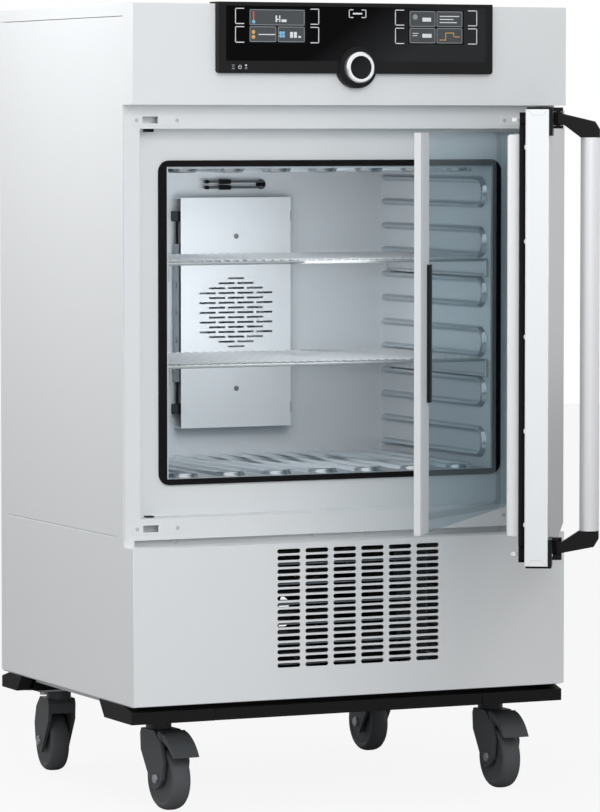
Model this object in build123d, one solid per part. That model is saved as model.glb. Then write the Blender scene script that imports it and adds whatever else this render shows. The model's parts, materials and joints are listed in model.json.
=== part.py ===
from build123d import *
import math
import os

os.makedirs("parts", exist_ok=True)

# Millimetres. X runs across from the middle of the cabinet, Y back from its front face, Z up from the floor.

# Cabinet shell
cabinet_width = 745.0
cabinet_depth = 555.0
cabinet_height = 1245.0
housing_bottom = 170.5
sheet = 1.5
return_depth = 38.0
return_width = 18.0
cover_flange = 20.0
fascia_bottom = 1090.5
lower_panel_top = 413.0
seam_height = 425.6
seam_inset = 32.0
seam_width = 2.4
seam_depth = 1.2
cover_gap = 0.8
fit_gap = 0.3

# Rear wall
rear_vent_columns = 3
rear_vent_rows = 10
rear_vent_pitch_x = 110.0
rear_vent_pitch_z = 15.0
rear_vent_height = 220.0
rear_vent_length = 90.0
rear_vent_slot = 5.0
inlet_x = -270.0
inlet_z = 250.0
inlet_width = 48.0
inlet_height = 28.0
inlet_depth = 30.0
inlet_flange = 6.0
inlet_pin_half_width = 1.0
inlet_pin_half_height = 2.0

# Door frame recess
recess_half_width = 344.5
recess_bottom = 455.7
recess_top = 1054.0
recess_depth = 42.0
frame_bottom = 422.4
strip_setback = 12.0
pocket_depth = 22.0

# Chamber
chamber_width = 560.0
chamber_height = 480.0
chamber_depth = 400.0
chamber_bottom = 512.5
liner_sheet = 1.0
liner_lip = 3.0
liner_lip_low = 0.5
bead_width = 12.0
bead_height = 7.0
bead_spacing = 40.0
bead_front_gap = 12.0
bead_rear_gap = 18.0
bead_flank_angle = 24.0
wall_loop_count = 6
floor_loop_count = 7
gasket_half_width = 296.5
gasket_low = 503.0
gasket_high = 1005.2
gasket_mouth = 284.0
gasket_thickness = 6.0
gasket_corner = 18.0
insulation_thickness = 28.0

# Fan cover, fan and cold parts in the chamber
cover_width = 197.0
cover_height = 377.0
cover_standoff = 33.0
grille_radius = 62.0
grille_slot_length = 29.0
grille_slot_height = 3.3
grille_slot_pitch = 34.0
grille_row_pitch = 8.0
fan_radius = 50.0
fan_blade_count = 10
fan_blade_depth = 14.0
fan_shaft_radius = 3.0
fan_motor_radius = 36.0
fan_motor_length = 46.0
running_clearance = 0.05
evaporator_half_width = 102.0
evaporator_inner = 64.0
evaporator_height = 226.0
fin_count = 8
fin_thickness = 1.0
evaporator_tube_radius = 4.0
evaporator_tube_count = 5
cover_screw_inset = 63.5
cover_screw_radius = 4.0
cover_screw_height = 1.2
fin_margin = 4.0
fitting_width = 22.0
tube_proud = 1.5
fitting_height = 16.0
fitting_offset = 158.0
fan_disc_gap = 12.0
fan_disc_thickness = 2.0
fan_blade_inner = 18.0
fan_blade_bend = 12.0
fan_hub_length = 10.0
probe_height = 962.0
probe_spacing = 9.5
probe_radius = 2.0
probe_length = 108.0
grommet_x = 58.5
grommet_radius = 8.0

# Shelves
shelf_loops = [1, 3]
shelf_rail_radius = 2.5
shelf_rise = 25.0
grid_wire_radius = 1.5
grid_wire_pitch = 15.0
shelf_front_gap = 8.0
shelf_rear_gap = 14.0
shelf_side_gap = 2.0

# Lower front grille
slot_length = 39.5
slot_height = 7.0
slot_column_pitch = 48.0
slot_row_pitch = 10.45
slot_columns = 6
slot_rows = 18
slot_end_sides = 6
grille_centre_x = 9.0
grille_centre_z = 311.7

# Machine space
condenser_front = 60.0
condenser_depth = 42.0
condenser_half_width = 150.0
condenser_foot = 14.0
condenser_headroom = 22.0
condenser_frame = 3.0
condenser_fins = 14
condenser_fin_thickness = 2.0
condenser_fan_radius = 88.0
condenser_fan_y = 130.0
condenser_fan_hub = 24.0
condenser_fan_blades = 5
condenser_blade_chord = 44.0
condenser_blade_pitch = 28.0
condenser_blade_thickness = 1.6
shroud_half_width = 110.0
shroud_depth = 50.0
shroud_clearance = 4.0
shroud_motor_radius = 30.0
shroud_motor_gap = 16.0
shroud_motor_length = 50.0
compressor_x = 190.0
compressor_y = 400.0
compressor_radius = 72.0
compressor_height = 150.0
compressor_shoulder = 28.0
compressor_foot = 10.0
compressor_foot_radius = 8.0
compressor_base = (160.0, 120.0)
compressor_feet = (68.0, 48.0)
pipe_spacing = 30.0
pipe_radius = 4.0
pipe_length = 75.0

# Control panel
bezel_width = 470.0
bezel_bottom = 1139.0
bezel_depth = 13.0
bezel_lip_depth = 21.0
bezel_lip_height = 3.0
bezel_corner = 5.0
lens_width = 445.0
lens_bottom = 1158.0
lens_height = 84.0
lens_thickness = 3.0
screen_width = 97.0
screen_height = 53.0
screen_offset = 136.0
screen_bottom = 1185.0
knob_height = 1148.5
collar_radius = 32.0
collar_depth = 3.0
ring_radius = 24.0
ring_wall = 6.0
ring_depth = 10.0
button_travel = 1.0
power_button_x = -200.0
power_button_width = 16.0
power_button_height = 8.0
key_proud = 1.2
board_inset = 10.0
board_headroom = 30.0
chip_count = 4
chip_width = 40.0
chip_pitch = 95.0
chip_height = 26.0
chip_rise = 18.0
chip_depth = 11.0
standoff_radius = 3.0
standoff_inset = 8.0
standoff_drop = 36.0

# Base
base_bottom = 142.0
tray_thickness = 2.0
trim_front = 8.0
trim_height = 18.5
trim_corner_width = 141.0
trim_wall = 22.0
trim_side_front = 141.0
trim_side_rear = 97.0
trim_slope = 22.0
carrier_wall = 3.0
carrier_width = 88.0
rail_height = 11.0

tray_inset = 2.0
rail_inset_outer = 25.0
rail_inset_inner = 42.0

# Castors
castor_x = 290.0
castor_front_y = 96.0
castor_rear_y = 511.0
castor_trail = 36.0
wheel_radius = 50.0
tread_width = 32.0
hub_radius = 37.0
hub_bore_radius = 4.0
fork_width = 46.0
fork_slot_width = 35.0
fork_top = 124.0
swivel_radius = 20.0
swivel_pin_radius = 6.0
plate_length = 86.0
plate_width = 100.0
plate_thickness = 3.0
bolt_radius = 6.5
bolt_height = 5.0
bolt_inset = 11.0
fork_nose = (-19.0, -15.0)
fork_shoulder = 30.0
fork_points = [(52.0, 106.0), (62.0, 78.0), (57.0, 50.0), (46.0, 38.0), (30.0, 32.0), (24.0, 32.0)]
fork_heel = (-17.0, 90.0)
fork_clearance = 4.0
tyre_shoulder = 7.0
hub_recess = 5.0
hub_boss_radius = 12.0
castor_angles = {"front_left": 183.0, "front_right": 178.0, "rear_left": -5.0, "rear_right": 0.0}
pedal_width = 44.0
pedal_thickness = 5.0
pedal_pivot_y = 46.0
pedal_pivot_z = 118.0
pedal_barrel_radius = 6.0
pedal_barrel_half = 16.0
pedal_tip = (98.0, 88.0)

# Main door, drawn closed and turned open about its hinge
door_hinge_x = 357.5
door_hinge_y = 15.0
door_open_angle = 60.1
door_left = -371.5
door_right = 371.5
door_front = -3.0
door_back = 30.5
door_bottom = 426.0
door_top = 1082.4
plug_left = -336.5
plug_right = 299.5
plug_bottom = 466.0
plug_top = 1046.0
plug_depth = 27.5
door_gasket_width = 8.0
door_gasket_height = 6.0
door_gasket_low = 449.3
door_gasket_high = 1063.0
hinge_pin_radius = 4.0
hinge_arm_thickness = 3.0
hinge_arm_width = 24.0

# Handle and latches
handle_axis_x = -327.5
handle_axis_offset = 11.6
hub_post_radius = 7.2
hub_length = 19.5
hub_top_low = 1059.3
hub_bottom_low = 440.0
top_ears = (1054.8, 1085.2)
bottom_ears = (432.0, 464.2)
corner_plate_thickness = 5.0
corner_plate_width = 58.0
corner_plate_height = 38.0
corner_flange_thickness = 3.0
handle_reach = 58.0
handle_tube_radius = 14.0
handle_tube_low = 474.5
handle_tube_high = 1042.0
handle_arm_width = 20.0
arm_end_rise = 23.0
arm_corner_rise = 11.5
pivot_pin_radius = 3.0
tongue_width = 11.0
tongue_thickness = 5.6
tongue_reach = 21.0
tongue_hook = 8.0
tongue_notch = 10.5
tongue_neck = 5.0
tongue_top_low = 1064.7
tongue_bottom_low = 437.3
handle_swing = 12.0
handle_reach_in = 67.4
latch_slot_gap = 1.5
plate_slot_width = 25.5
strike_length = 82.0
strike_height = 16.5
strike_thickness = 1.2
strike_top_low = 1058.5
strike_bottom_low = 431.8
latch_window_height = 10.6
strike_edge = 14.8

# Glass door, drawn closed and turned open about its hinge
glass_hinge_x = 335.5
glass_hinge_y = 66.5
glass_open_angle = 48.7
glass_left = -324.5
glass_hinge_inset = 12.0
glass_bottom = 458.6
glass_top = 1048.4
glass_thickness = 5.0
profile_width = 48.0
profile_depth = 10.0
catch_left = -325.5
catch_width = 12.0
catch_front = 56.0
catch_depth = 14.0
catch_gap = 0.6
grip_width = 12.0
grip_length = 203.0
grip_bottom = 652.0
clamp_length = 34.0
clamp_height = 16.0
clamp_inset = 1.0

half_width = cabinet_width / 2
frame_plane = return_depth
recess_plane = frame_plane + recess_depth
chamber_half = chamber_width / 2
chamber_top = chamber_bottom + chamber_height
chamber_middle = chamber_bottom + chamber_height / 2
chamber_back = recess_plane + chamber_depth
cover_face = chamber_back - cover_standoff
fin_front = cover_face + sheet + fin_margin
fin_back = chamber_back - fin_margin
condenser_low = housing_bottom + condenser_foot
condenser_high = lower_panel_top - condenser_headroom
condenser_fan_z = (condenser_low + condenser_high) / 2
castor_top = base_bottom + 1
latch_slot_side = handle_reach_in * math.sin(math.radians(handle_swing))
panel_top = cabinet_height - cover_flange


def block(x0, x1, y0, y1, z0, z1):
    """A box from its low corner to its high corner."""
    return Pos((x0 + x1) / 2, (y0 + y1) / 2, (z0 + z1) / 2) * Box(x1 - x0, y1 - y0, z1 - z0)


def rod(start, end, radius):
    """A round bar from one point to another."""
    a = Vector(*start)
    b = Vector(*end)
    return Plane(origin=a, z_dir=b - a) * extrude(Circle(radius), amount=(b - a).length)


def upright(x, y, low, high, radius):
    """A round bar that stands on one spot from a low to a high level."""
    return rod((x, y, low), (x, y, high), radius)


def front_plane(y):
    """A drawing plane at depth y, with X to the right and Z up, whose extrusions go forward."""
    return Plane(origin=(0, y, 0), x_dir=(1, 0, 0), z_dir=(0, -1, 0))


def plate(sketch, y, thickness):
    """A sheet drawn in X and Z, from depth y back by its thickness."""
    return front_plane(y) * extrude(sketch, amount=-thickness)


def save(shape, name):
    """Writes one sub-part, with each of its solids where it stands."""
    solids = shape.solids()
    whole = solids[0] if len(solids) == 1 else Compound(children=list(solids))
    export_step(whole, f"parts/{name}.step")


def group(shapes):
    """Separate solids kept together in one sub-part."""
    solids = []
    for shape in shapes:
        solids.extend(shape.solids())
    return Compound(children=solids)


def side_panel():
    """The left wall: a tall sheet with a folded edge at front and rear, and a pressed seam outside."""
    outer = -half_width
    wall = block(outer, outer + sheet, frame_plane, cabinet_depth, housing_bottom, panel_top)
    front_fold = block(
        outer, outer + return_width,
        frame_plane, frame_plane + sheet,
        housing_bottom, panel_top,
    )
    rear_inner = cabinet_depth - sheet
    fold = outer + return_width
    rear_fold = block(outer, fold, rear_inner - sheet, rear_inner, housing_bottom, panel_top)
    relief = block(outer, fold, frame_plane, frame_plane + sheet, frame_bottom, fascia_bottom)
    seam = block(
        outer, outer + seam_depth,
        frame_plane + seam_inset, cabinet_depth - seam_inset,
        seam_height, seam_height + seam_width,
    )
    edge = block(outer + sheet, outer + return_width, rear_inner, cabinet_depth, housing_bottom, panel_top)
    return wall + front_fold + rear_fold - relief - seam - edge


def rear_panel():
    """The rear wall, with exhaust slots low down and the hole for the mains inlet."""
    inner = half_width - sheet
    sheet_body = block(-inner, inner, cabinet_depth - sheet, cabinet_depth, housing_bottom, panel_top)
    slots = Sketch()
    for column in range(rear_vent_columns):
        for row in range(rear_vent_rows):
            x = (column - (rear_vent_columns - 1) / 2) * rear_vent_pitch_x
            z = rear_vent_height + row * rear_vent_pitch_z
            slots += Pos(x, z) * Rectangle(rear_vent_length, rear_vent_slot)
    cut = plate(slots, cabinet_depth - 2 * sheet, 3 * sheet)
    inlet_hole = block(
        inlet_x - inlet_width / 2, inlet_x + inlet_width / 2,
        cabinet_depth - 2 * sheet, cabinet_depth + sheet,
        inlet_z - inlet_height / 2, inlet_z + inlet_height / 2,
    )
    return sheet_body - cut - inlet_hole


def mains_inlet():
    """A panel socket for a detachable lead: flange, body and three flat pins in its recess."""
    flange = block(
        inlet_x - inlet_width / 2 - inlet_flange, inlet_x + inlet_width / 2 + inlet_flange,
        cabinet_depth, cabinet_depth + sheet,
        inlet_z - inlet_height / 2 - inlet_flange, inlet_z + inlet_height / 2 + inlet_flange,
    )
    body = block(
        inlet_x - inlet_width / 2 + fit_gap, inlet_x + inlet_width / 2 - fit_gap,
        cabinet_depth - inlet_depth, cabinet_depth + sheet,
        inlet_z - inlet_height / 2 + fit_gap, inlet_z + inlet_height / 2 - fit_gap,
    )
    socket_half_width = inlet_width / 2 - 2 * inlet_flange
    socket_half_height = inlet_height / 2 - inlet_flange
    socket = block(
        inlet_x - socket_half_width, inlet_x + socket_half_width,
        cabinet_depth - inlet_depth + inlet_flange, cabinet_depth + 2 * sheet,
        inlet_z - socket_half_height, inlet_z + socket_half_height,
    )
    pins = Part()
    for step in (-1, 0, 1):
        x = inlet_x + step * inlet_flange
        pins += block(
            x - inlet_pin_half_width, x + inlet_pin_half_width,
            cabinet_depth - inlet_depth, cabinet_depth - inlet_flange,
            inlet_z - inlet_pin_half_height, inlet_z + inlet_pin_half_height,
        )
    return flange + body - socket + pins


def top_cover():
    """A folded lid whose edges run down over the side and rear walls."""
    top = block(-half_width, half_width, frame_plane, cabinet_depth, cabinet_height - sheet, cabinet_height)
    cap = block(-half_width, half_width, frame_plane, cabinet_depth, panel_top + cover_gap, cabinet_height)
    hollow = block(
        -half_width + sheet, half_width - sheet,
        frame_plane - 1, cabinet_depth - sheet,
        panel_top - 1, cabinet_height - sheet,
    )
    return top + (cap - hollow)


def tray(bottom, top):
    """A folded front panel: a face with four edges turned back to the door frame."""
    outer = block(-half_width, half_width, 0, frame_plane, bottom, top)
    outer = fillet(outer.edges().filter_by(Axis.Z).group_by(Axis.Y)[0], 1.2)
    inner = half_width - sheet
    hollow = block(-inner, inner, sheet, frame_plane + 1, bottom + sheet, top - sheet)
    return outer - hollow


def upper_fascia():
    """The upper front panel, with a window for the control electronics."""
    window_half = lens_width / 2
    window = block(-window_half, window_half, -1, 2 * sheet, lens_bottom, lens_bottom + lens_height - 8)
    return tray(fascia_bottom, cabinet_height) - window


def slot_outline():
    """One air slot with many-sided round ends."""
    radius = slot_height / 2
    centre = slot_length / 2 - radius
    points = []
    for side, start in ((1, -90), (-1, 90)):
        for step in range(slot_end_sides + 1):
            angle = math.radians(start + 180 * step / slot_end_sides)
            points.append((side * centre + radius * math.cos(angle), radius * math.sin(angle)))
    return make_face(Polyline(*points, close=True))


def lower_front_panel():
    """The lower front panel, with the columns of air slots for the condenser."""
    slots = Sketch()
    for column in range(slot_columns):
        for row in range(slot_rows):
            x = grille_centre_x + (column - (slot_columns - 1) / 2) * slot_column_pitch
            z = grille_centre_z + (row - (slot_rows - 1) / 2) * slot_row_pitch
            slots += Pos(x, z) * slot_outline()
    return tray(housing_bottom, lower_panel_top) - plate(slots, -1, 2 * sheet)


def front_frame():
    """The door frame: a front rim, the stepped recess walls and the ring around the chamber mouth."""
    rim_half = half_width - sheet
    rim = block(-rim_half, rim_half, frame_plane, frame_plane + sheet, frame_bottom, fascia_bottom)
    strip_y = frame_plane + strip_setback
    strip = block(-rim_half, rim_half, strip_y, strip_y + sheet, lower_panel_top - 2, frame_bottom + 2)
    strip += block(-rim_half, rim_half, frame_plane, strip_y + sheet, frame_bottom, frame_bottom + sheet)
    well = block(
        -recess_half_width - sheet, recess_half_width + sheet,
        frame_plane, recess_plane + sheet,
        recess_bottom - sheet, recess_top + sheet,
    )
    well_hollow = block(
        -recess_half_width, recess_half_width,
        frame_plane - 1, recess_plane,
        recess_bottom, recess_top,
    )
    mouth = block(
        -chamber_half - liner_sheet, chamber_half + liner_sheet,
        recess_plane - 1, recess_plane + 2 * sheet,
        chamber_bottom - liner_sheet, chamber_top + liner_sheet,
    )
    frame = rim + strip + well - well_hollow - mouth
    return frame - latch_windows() + latch_pockets()


def chamber_liner():
    """The stainless chamber: five walls, a narrow front lip and the hole for the fan shaft."""
    outer = block(
        -chamber_half - liner_sheet, chamber_half + liner_sheet,
        recess_plane, chamber_back + liner_sheet,
        chamber_bottom - liner_sheet, chamber_top + liner_sheet,
    )
    lip = block(
        -chamber_half - liner_lip, chamber_half + liner_lip,
        recess_plane - liner_sheet, recess_plane,
        chamber_bottom - liner_lip_low, chamber_top + liner_lip,
    )
    hollow = block(
        -chamber_half, chamber_half,
        recess_plane - 2 * liner_sheet, chamber_back,
        chamber_bottom, chamber_top,
    )
    shaft_hole = rod(
        (0, chamber_back - 1, chamber_middle),
        (0, chamber_back + 2 * liner_sheet, chamber_middle),
        2 * fan_shaft_radius,
    )
    return outer + lip - hollow - shaft_hole


def bead_loop():
    """One pressed U-shaped bead drawn flat: two legs along +X joined by a round turn at the front."""
    leg_half = bead_spacing / 2
    outer_radius = leg_half + bead_width / 2
    inner_radius = leg_half - bead_width / 2
    turn_x = bead_front_gap + outer_radius
    leg_end = chamber_depth - bead_rear_gap
    length = leg_end - turn_x
    outline = Pos(turn_x, 0) * Circle(outer_radius)
    outline += Pos(turn_x + length / 2, 0) * Rectangle(length, 2 * outer_radius)
    outline -= Pos(turn_x, 0) * Circle(inner_radius)
    outline -= Pos(turn_x + length / 2 + 1, 0) * Rectangle(length + 2, 2 * inner_radius)
    return extrude(outline, amount=bead_height, taper=bead_flank_angle)


def chamber_ribs():
    """The beads on the two side walls, the floor and the ceiling, which carry the shelves."""
    loop = bead_loop()
    ribs = []
    first_z = chamber_middle - (wall_loop_count - 1) * bead_spacing
    for index in range(wall_loop_count):
        z = first_z + index * 2 * bead_spacing
        for side in (-1, 1):
            wall = Plane(origin=(side * chamber_half, recess_plane, z), x_dir=(0, 1, 0), z_dir=(-side, 0, 0))
            ribs.append(wall * loop)
    first_x = -(floor_loop_count - 1) * bead_spacing
    for index in range(floor_loop_count):
        x = first_x + index * 2 * bead_spacing
        floor = Plane(origin=(x, recess_plane, chamber_bottom), x_dir=(0, 1, 0), z_dir=(0, 0, 1))
        ceiling = Plane(origin=(x, recess_plane, chamber_top), x_dir=(0, 1, 0), z_dir=(0, 0, -1))
        ribs.append(floor * loop)
        ribs.append(ceiling * loop)
    return group(ribs)


def chamber_gasket():
    """The black seal that frames the chamber mouth."""
    width = 2 * gasket_half_width
    outer = Pos(0, (gasket_low + gasket_high) / 2)
    outer *= RectangleRounded(width, gasket_high - gasket_low, gasket_corner)
    mouth_low = chamber_bottom - liner_lip_low
    mouth_high = chamber_top + liner_lip
    inner = Pos(0, (mouth_low + mouth_high) / 2) * Rectangle(2 * gasket_mouth, mouth_high - mouth_low)
    ring = plate(outer - inner, recess_plane - gasket_thickness, gasket_thickness)
    crest = ring.faces().sort_by(Axis.Y)[0].outer_wire().edges()
    return fillet(crest, 2.0)


def chamber_insulation():
    """A jacket of insulation round the sides, top, bottom and back of the liner."""
    thickness = insulation_thickness
    shell = chamber_half + liner_sheet
    front = recess_plane + sheet + fit_gap
    outer = block(
        -shell - thickness, shell + thickness,
        front, chamber_back + liner_sheet + thickness,
        chamber_bottom - liner_sheet - thickness, chamber_top + liner_sheet + thickness,
    )
    hollow = block(
        -shell, shell, front - 1, chamber_back + liner_sheet,
        chamber_bottom - liner_sheet, chamber_top + liner_sheet,
    )
    motor_pocket = rod(
        (0, chamber_back, chamber_middle),
        (0, chamber_back + 2 * thickness, chamber_middle),
        fan_motor_radius + 1,
    )
    return outer - hollow - motor_pocket


def fan_cover():
    """The plate in front of the fan: a staggered slot grille, folded top and bottom, two screws."""
    half = cover_width / 2
    low = chamber_middle - cover_height / 2
    high = chamber_middle + cover_height / 2
    face = block(-half, half, cover_face, cover_face + sheet, low, high)
    folds = block(-half, half, cover_face, chamber_back, low, low + sheet)
    folds += block(-half, half, cover_face, chamber_back, high - sheet, high)
    slots = Sketch()
    reach = int(grille_radius // grille_row_pitch)
    for row in range(-reach, reach + 1):
        z = row * grille_row_pitch
        shift = grille_slot_pitch / 2 if row % 2 == 0 else 0
        for column in range(-3, 4):
            x = column * grille_slot_pitch + shift
            if math.hypot(x, z) < grille_radius:
                slots += Pos(x, chamber_middle + z) * Rectangle(grille_slot_length, grille_slot_height)
    cover = face + folds - plate(slots, cover_face - 1, 2 * sheet)
    for z in (low + cover_screw_inset, high - cover_screw_inset):
        cover += rod((0, cover_face - cover_screw_height, z), (0, cover_face + 1, z), cover_screw_radius)
    return cover


def evaporator():
    """Two stacks of upright cooling fins on level tubes, one each side of the fan."""
    stacks = []
    low = chamber_middle - evaporator_height / 2
    high = chamber_middle + evaporator_height / 2
    depth_middle = (fin_front + fin_back) / 2
    span = evaporator_half_width - evaporator_inner - tube_proud
    pitch = (span - fin_thickness) / (fin_count - 1)
    for side in (-1, 1):
        stack = Part()
        for index in range(fin_count):
            x = side * (evaporator_inner + index * pitch + fin_thickness / 2)
            stack += block(x - fin_thickness / 2, x + fin_thickness / 2, fin_front, fin_back, low, high)
        for index in range(evaporator_tube_count):
            z = low + (index + 0.5) * evaporator_height / evaporator_tube_count
            start = (side * evaporator_inner, depth_middle, z)
            end = (side * evaporator_half_width, depth_middle, z)
            stack += rod(start, end, evaporator_tube_radius)
        stacks.append(stack)
    return group(stacks)


def chamber_fittings():
    """Plastic blocks and rods that hold the fin stacks on the back wall, and the probe grommet."""
    pieces = []
    depth_middle = (fin_front + fin_back) / 2
    stack_half = evaporator_height / 2
    for side in (-1, 1):
        x0 = side * (evaporator_half_width - fitting_width)
        x1 = side * evaporator_half_width
        for end in (-1, 1):
            z = chamber_middle + end * fitting_offset
            holder = block(
                min(x0, x1), max(x0, x1), fin_front, chamber_back,
                z - fitting_height / 2, z + fitting_height / 2,
            )
            near = chamber_middle + end * stack_half
            for x in (x0 + side * fin_margin, x1 - side * fin_margin):
                holder += rod((x, depth_middle, min(z, near)), (x, depth_middle, max(z, near)), probe_radius)
            pieces.append(holder)
    pieces.append(rod(
        (grommet_x, chamber_back - 2 * probe_radius, probe_height),
        (grommet_x, chamber_back, probe_height),
        grommet_radius,
    ))
    return group(pieces)


def temperature_probes():
    """Two bent sensor rods that leave the grommet and run level along the back wall."""
    rods = []
    face = chamber_back - 2 * probe_radius
    run_y = face - 8
    for side in (-1, 1):
        z = probe_height + side * probe_spacing / 2
        path = FilletPolyline(
            (grommet_x, face, z),
            (grommet_x, run_y, z),
            (grommet_x - probe_length, run_y, z),
            radius=5,
        )
        start = Plane(origin=path @ 0, z_dir=path % 0)
        rods.append(sweep(start * Circle(probe_radius), path=path))
    return group(rods)


def fan_motor():
    """The circulation fan's motor behind the back wall, with a bearing for the shaft."""
    start = chamber_back + liner_sheet
    centre = chamber_middle
    body = rod((0, start, centre), (0, start + fan_motor_length, centre), fan_motor_radius)
    bore_end = start + fan_motor_length - 8
    bore = rod((0, start - 1, centre), (0, bore_end, centre), fan_shaft_radius + running_clearance)
    return body - bore


def circulation_fan():
    """A radial wheel on its motor shaft: a back disc with bent blades."""
    disc_y = chamber_back - fan_disc_gap
    disc_back = disc_y + fan_disc_thickness
    centre = chamber_middle
    wheel = rod((0, disc_y, centre), (0, disc_back, centre), fan_radius)
    for index in range(fan_blade_count):
        angle = index * 360 / fan_blade_count
        blade = block(fan_blade_inner, fan_radius - 1, -1, 1, 0, fan_blade_depth)
        blade = Rot(0, 0, angle) * Pos(2, 0, 0) * Rot(0, 0, fan_blade_bend) * blade
        wheel += Plane(origin=(0, disc_y + 0.5, centre), x_dir=(1, 0, 0), z_dir=(0, -1, 0)) * blade
    hub = rod((0, disc_y - fan_hub_length, centre), (0, disc_back, centre), 3 * fan_shaft_radius)
    shaft_end = chamber_back + liner_sheet + fan_motor_length - 12
    return wheel + hub + rod((0, disc_y, centre), (0, shaft_end, centre), fan_shaft_radius)


def control_bezel():
    """The black control housing, with a lip over the top edge and a round collar for the knob."""
    half = bezel_width / 2
    housing = block(-half, half, -bezel_depth, 0, bezel_bottom, cabinet_height + bezel_lip_height)
    housing = fillet(housing.edges().filter_by(Axis.Y).group_by(Axis.Z)[0], bezel_corner)
    housing = fillet(housing.edges().group_by(Axis.Y)[0].sort_by(Axis.Z)[-1:], 2)
    lip = block(-half, half, 0, bezel_lip_depth, cabinet_height, cabinet_height + bezel_lip_height)
    lens = block(-lens_width / 2, lens_width / 2, -bezel_depth - 1, -bezel_depth + lens_thickness,
                 lens_bottom, lens_bottom + lens_height)
    collar_front = -bezel_depth - collar_depth
    collar = rod((0, 0, knob_height), (0, collar_front, knob_height), collar_radius)
    bore = rod((0, 1, knob_height), (0, collar_front - 1, knob_height), ring_radius - ring_wall + 2)
    key_hole = power_key(fit_gap, -1.0)
    return housing + lip - lens + collar - bore - key_hole


def power_key(margin, back):
    """The power key's block, grown by a margin for its hole."""
    half = power_button_width / 2 + margin
    tall = power_button_height / 2 + margin
    z = (bezel_bottom + lens_bottom) / 2
    x = power_button_x
    return block(x - half, x + half, -bezel_depth - key_proud, back, z - tall, z + tall)


def control_glass():
    """The glass face of the controls, open round the two screens and the knob collar."""
    face = Pos(0, lens_bottom + lens_height / 2) * Rectangle(lens_width, lens_height)
    for side in (-1, 1):
        place = Pos(side * screen_offset, screen_bottom + screen_height / 2)
        face -= place * Rectangle(screen_width, screen_height)
    face -= Pos(0, knob_height) * Circle(collar_radius)
    return plate(face, -bezel_depth, lens_thickness)


def display_screens():
    """The two screens, flush in the glass."""
    screens = []
    for side in (-1, 1):
        outline = Pos(side * screen_offset, screen_bottom + screen_height / 2)
        outline *= Rectangle(screen_width, screen_height)
        screens.append(plate(outline, -bezel_depth, lens_thickness))
    return group(screens)


def control_board():
    """The controller's circuit board behind the fascia window, with its larger components."""
    board_y = 2 * sheet
    board_back = board_y + sheet
    half = lens_width / 2 - board_inset
    board = block(-half, half, board_y, board_back, lens_bottom, cabinet_height - board_headroom)
    chip_low = lens_bottom + chip_rise
    for index in range(chip_count):
        middle = (index - (chip_count - 1) / 2) * chip_pitch
        board += block(
            middle - chip_width / 2, middle + chip_width / 2,
            board_back, board_back + chip_depth,
            chip_low, chip_low + chip_height,
        )
    standoff_z = cabinet_height - standoff_drop
    for x in (-half + standoff_inset, half - standoff_inset):
        board += rod((x, sheet, standoff_z), (x, board_y, standoff_z), standoff_radius)
    return board


def control_ring():
    """The silver turning ring, chamfered, that turns on a sleeve in the collar."""
    front = -bezel_depth - collar_depth - fit_gap
    ring = rod((0, front, knob_height), (0, front - ring_depth, knob_height), ring_radius)
    ring = chamfer(ring.edges().sort_by(Axis.Y)[0], 2)
    hole_radius = ring_radius - ring_wall
    hole = rod((0, front + 1, knob_height), (0, front - ring_depth - 1, knob_height), hole_radius)
    return ring - hole


def confirm_button():
    """The black push face inside the ring, on its guide stem."""
    radius = ring_radius - ring_wall - fit_gap
    front = -bezel_depth - collar_depth - ring_depth + 1.5
    face = rod((0, front, knob_height), (0, front + 8, knob_height), radius)
    return face + rod((0, front + 8, knob_height), (0, -button_travel - fit_gap, knob_height), radius / 2)


def compressor():
    """The refrigeration compressor: a bevelled shell on feet, with its two pipe stubs."""
    x = compressor_x
    y = compressor_y
    foot = housing_bottom + compressor_foot
    top = foot + compressor_height
    shell = rod((x, y, foot), (x, y, top), compressor_radius)
    shell = chamfer(shell.edges().filter_by(GeomType.CIRCLE), compressor_shoulder)
    body = shell + Pos(x, y, foot - tray_thickness / 4) * Box(*compressor_base, 1.5 * tray_thickness)
    foot_x, foot_y = compressor_feet
    for sx in (-1, 1):
        for sy in (-1, 1):
            start = (x + sx * foot_x, y + sy * foot_y, housing_bottom)
            body += rod(start, (start[0], start[1], foot), compressor_foot_radius)
    for side in (-1, 1):
        pipe_x = x + side * pipe_spacing
        body += upright(pipe_x, y, top - pipe_spacing, top - pipe_spacing + pipe_length, pipe_radius)
    return body


def condenser():
    """The finned condenser behind the front grille, in a folded end frame."""
    low = housing_bottom
    x0 = grille_centre_x - condenser_half_width
    x1 = grille_centre_x + condenser_half_width
    y0 = condenser_front
    y1 = condenser_front + condenser_depth
    body = block(x0, x0 + condenser_frame, y0, y1, low, condenser_high)
    body += block(x1 - condenser_frame, x1, y0, y1, low, condenser_high)
    pitch = (condenser_high - condenser_low - condenser_fin_thickness) / (condenser_fins - 1)
    for index in range(condenser_fins):
        z = condenser_low + index * pitch
        body += block(x0, x1, y0, y1, z, z + condenser_fin_thickness)
    return body


def condenser_fan_housing():
    """The square shroud on the condenser, with the fan motor on a cross arm behind the blades."""
    y0 = condenser_front + condenser_depth
    y1 = y0 + shroud_depth
    z = condenser_fan_z
    x = grille_centre_x
    half = shroud_half_width
    shroud = block(x - half, x + half, y0, y1, condenser_low, condenser_high)
    shroud -= rod((x, y0 - 1, z), (x, y1 + 1, z), condenser_fan_radius + shroud_clearance)
    motor_y = condenser_fan_y + shroud_motor_gap
    motor = rod((x, motor_y, z), (x, motor_y + shroud_motor_length, z), shroud_motor_radius)
    arm = block(x - half, x + half, motor_y + 6, motor_y + 14, z - 8, z + 8)
    bore = rod((x, motor_y - 1, z), (x, motor_y + 40, z), fan_shaft_radius + running_clearance)
    return shroud + arm + motor - bore


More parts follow.
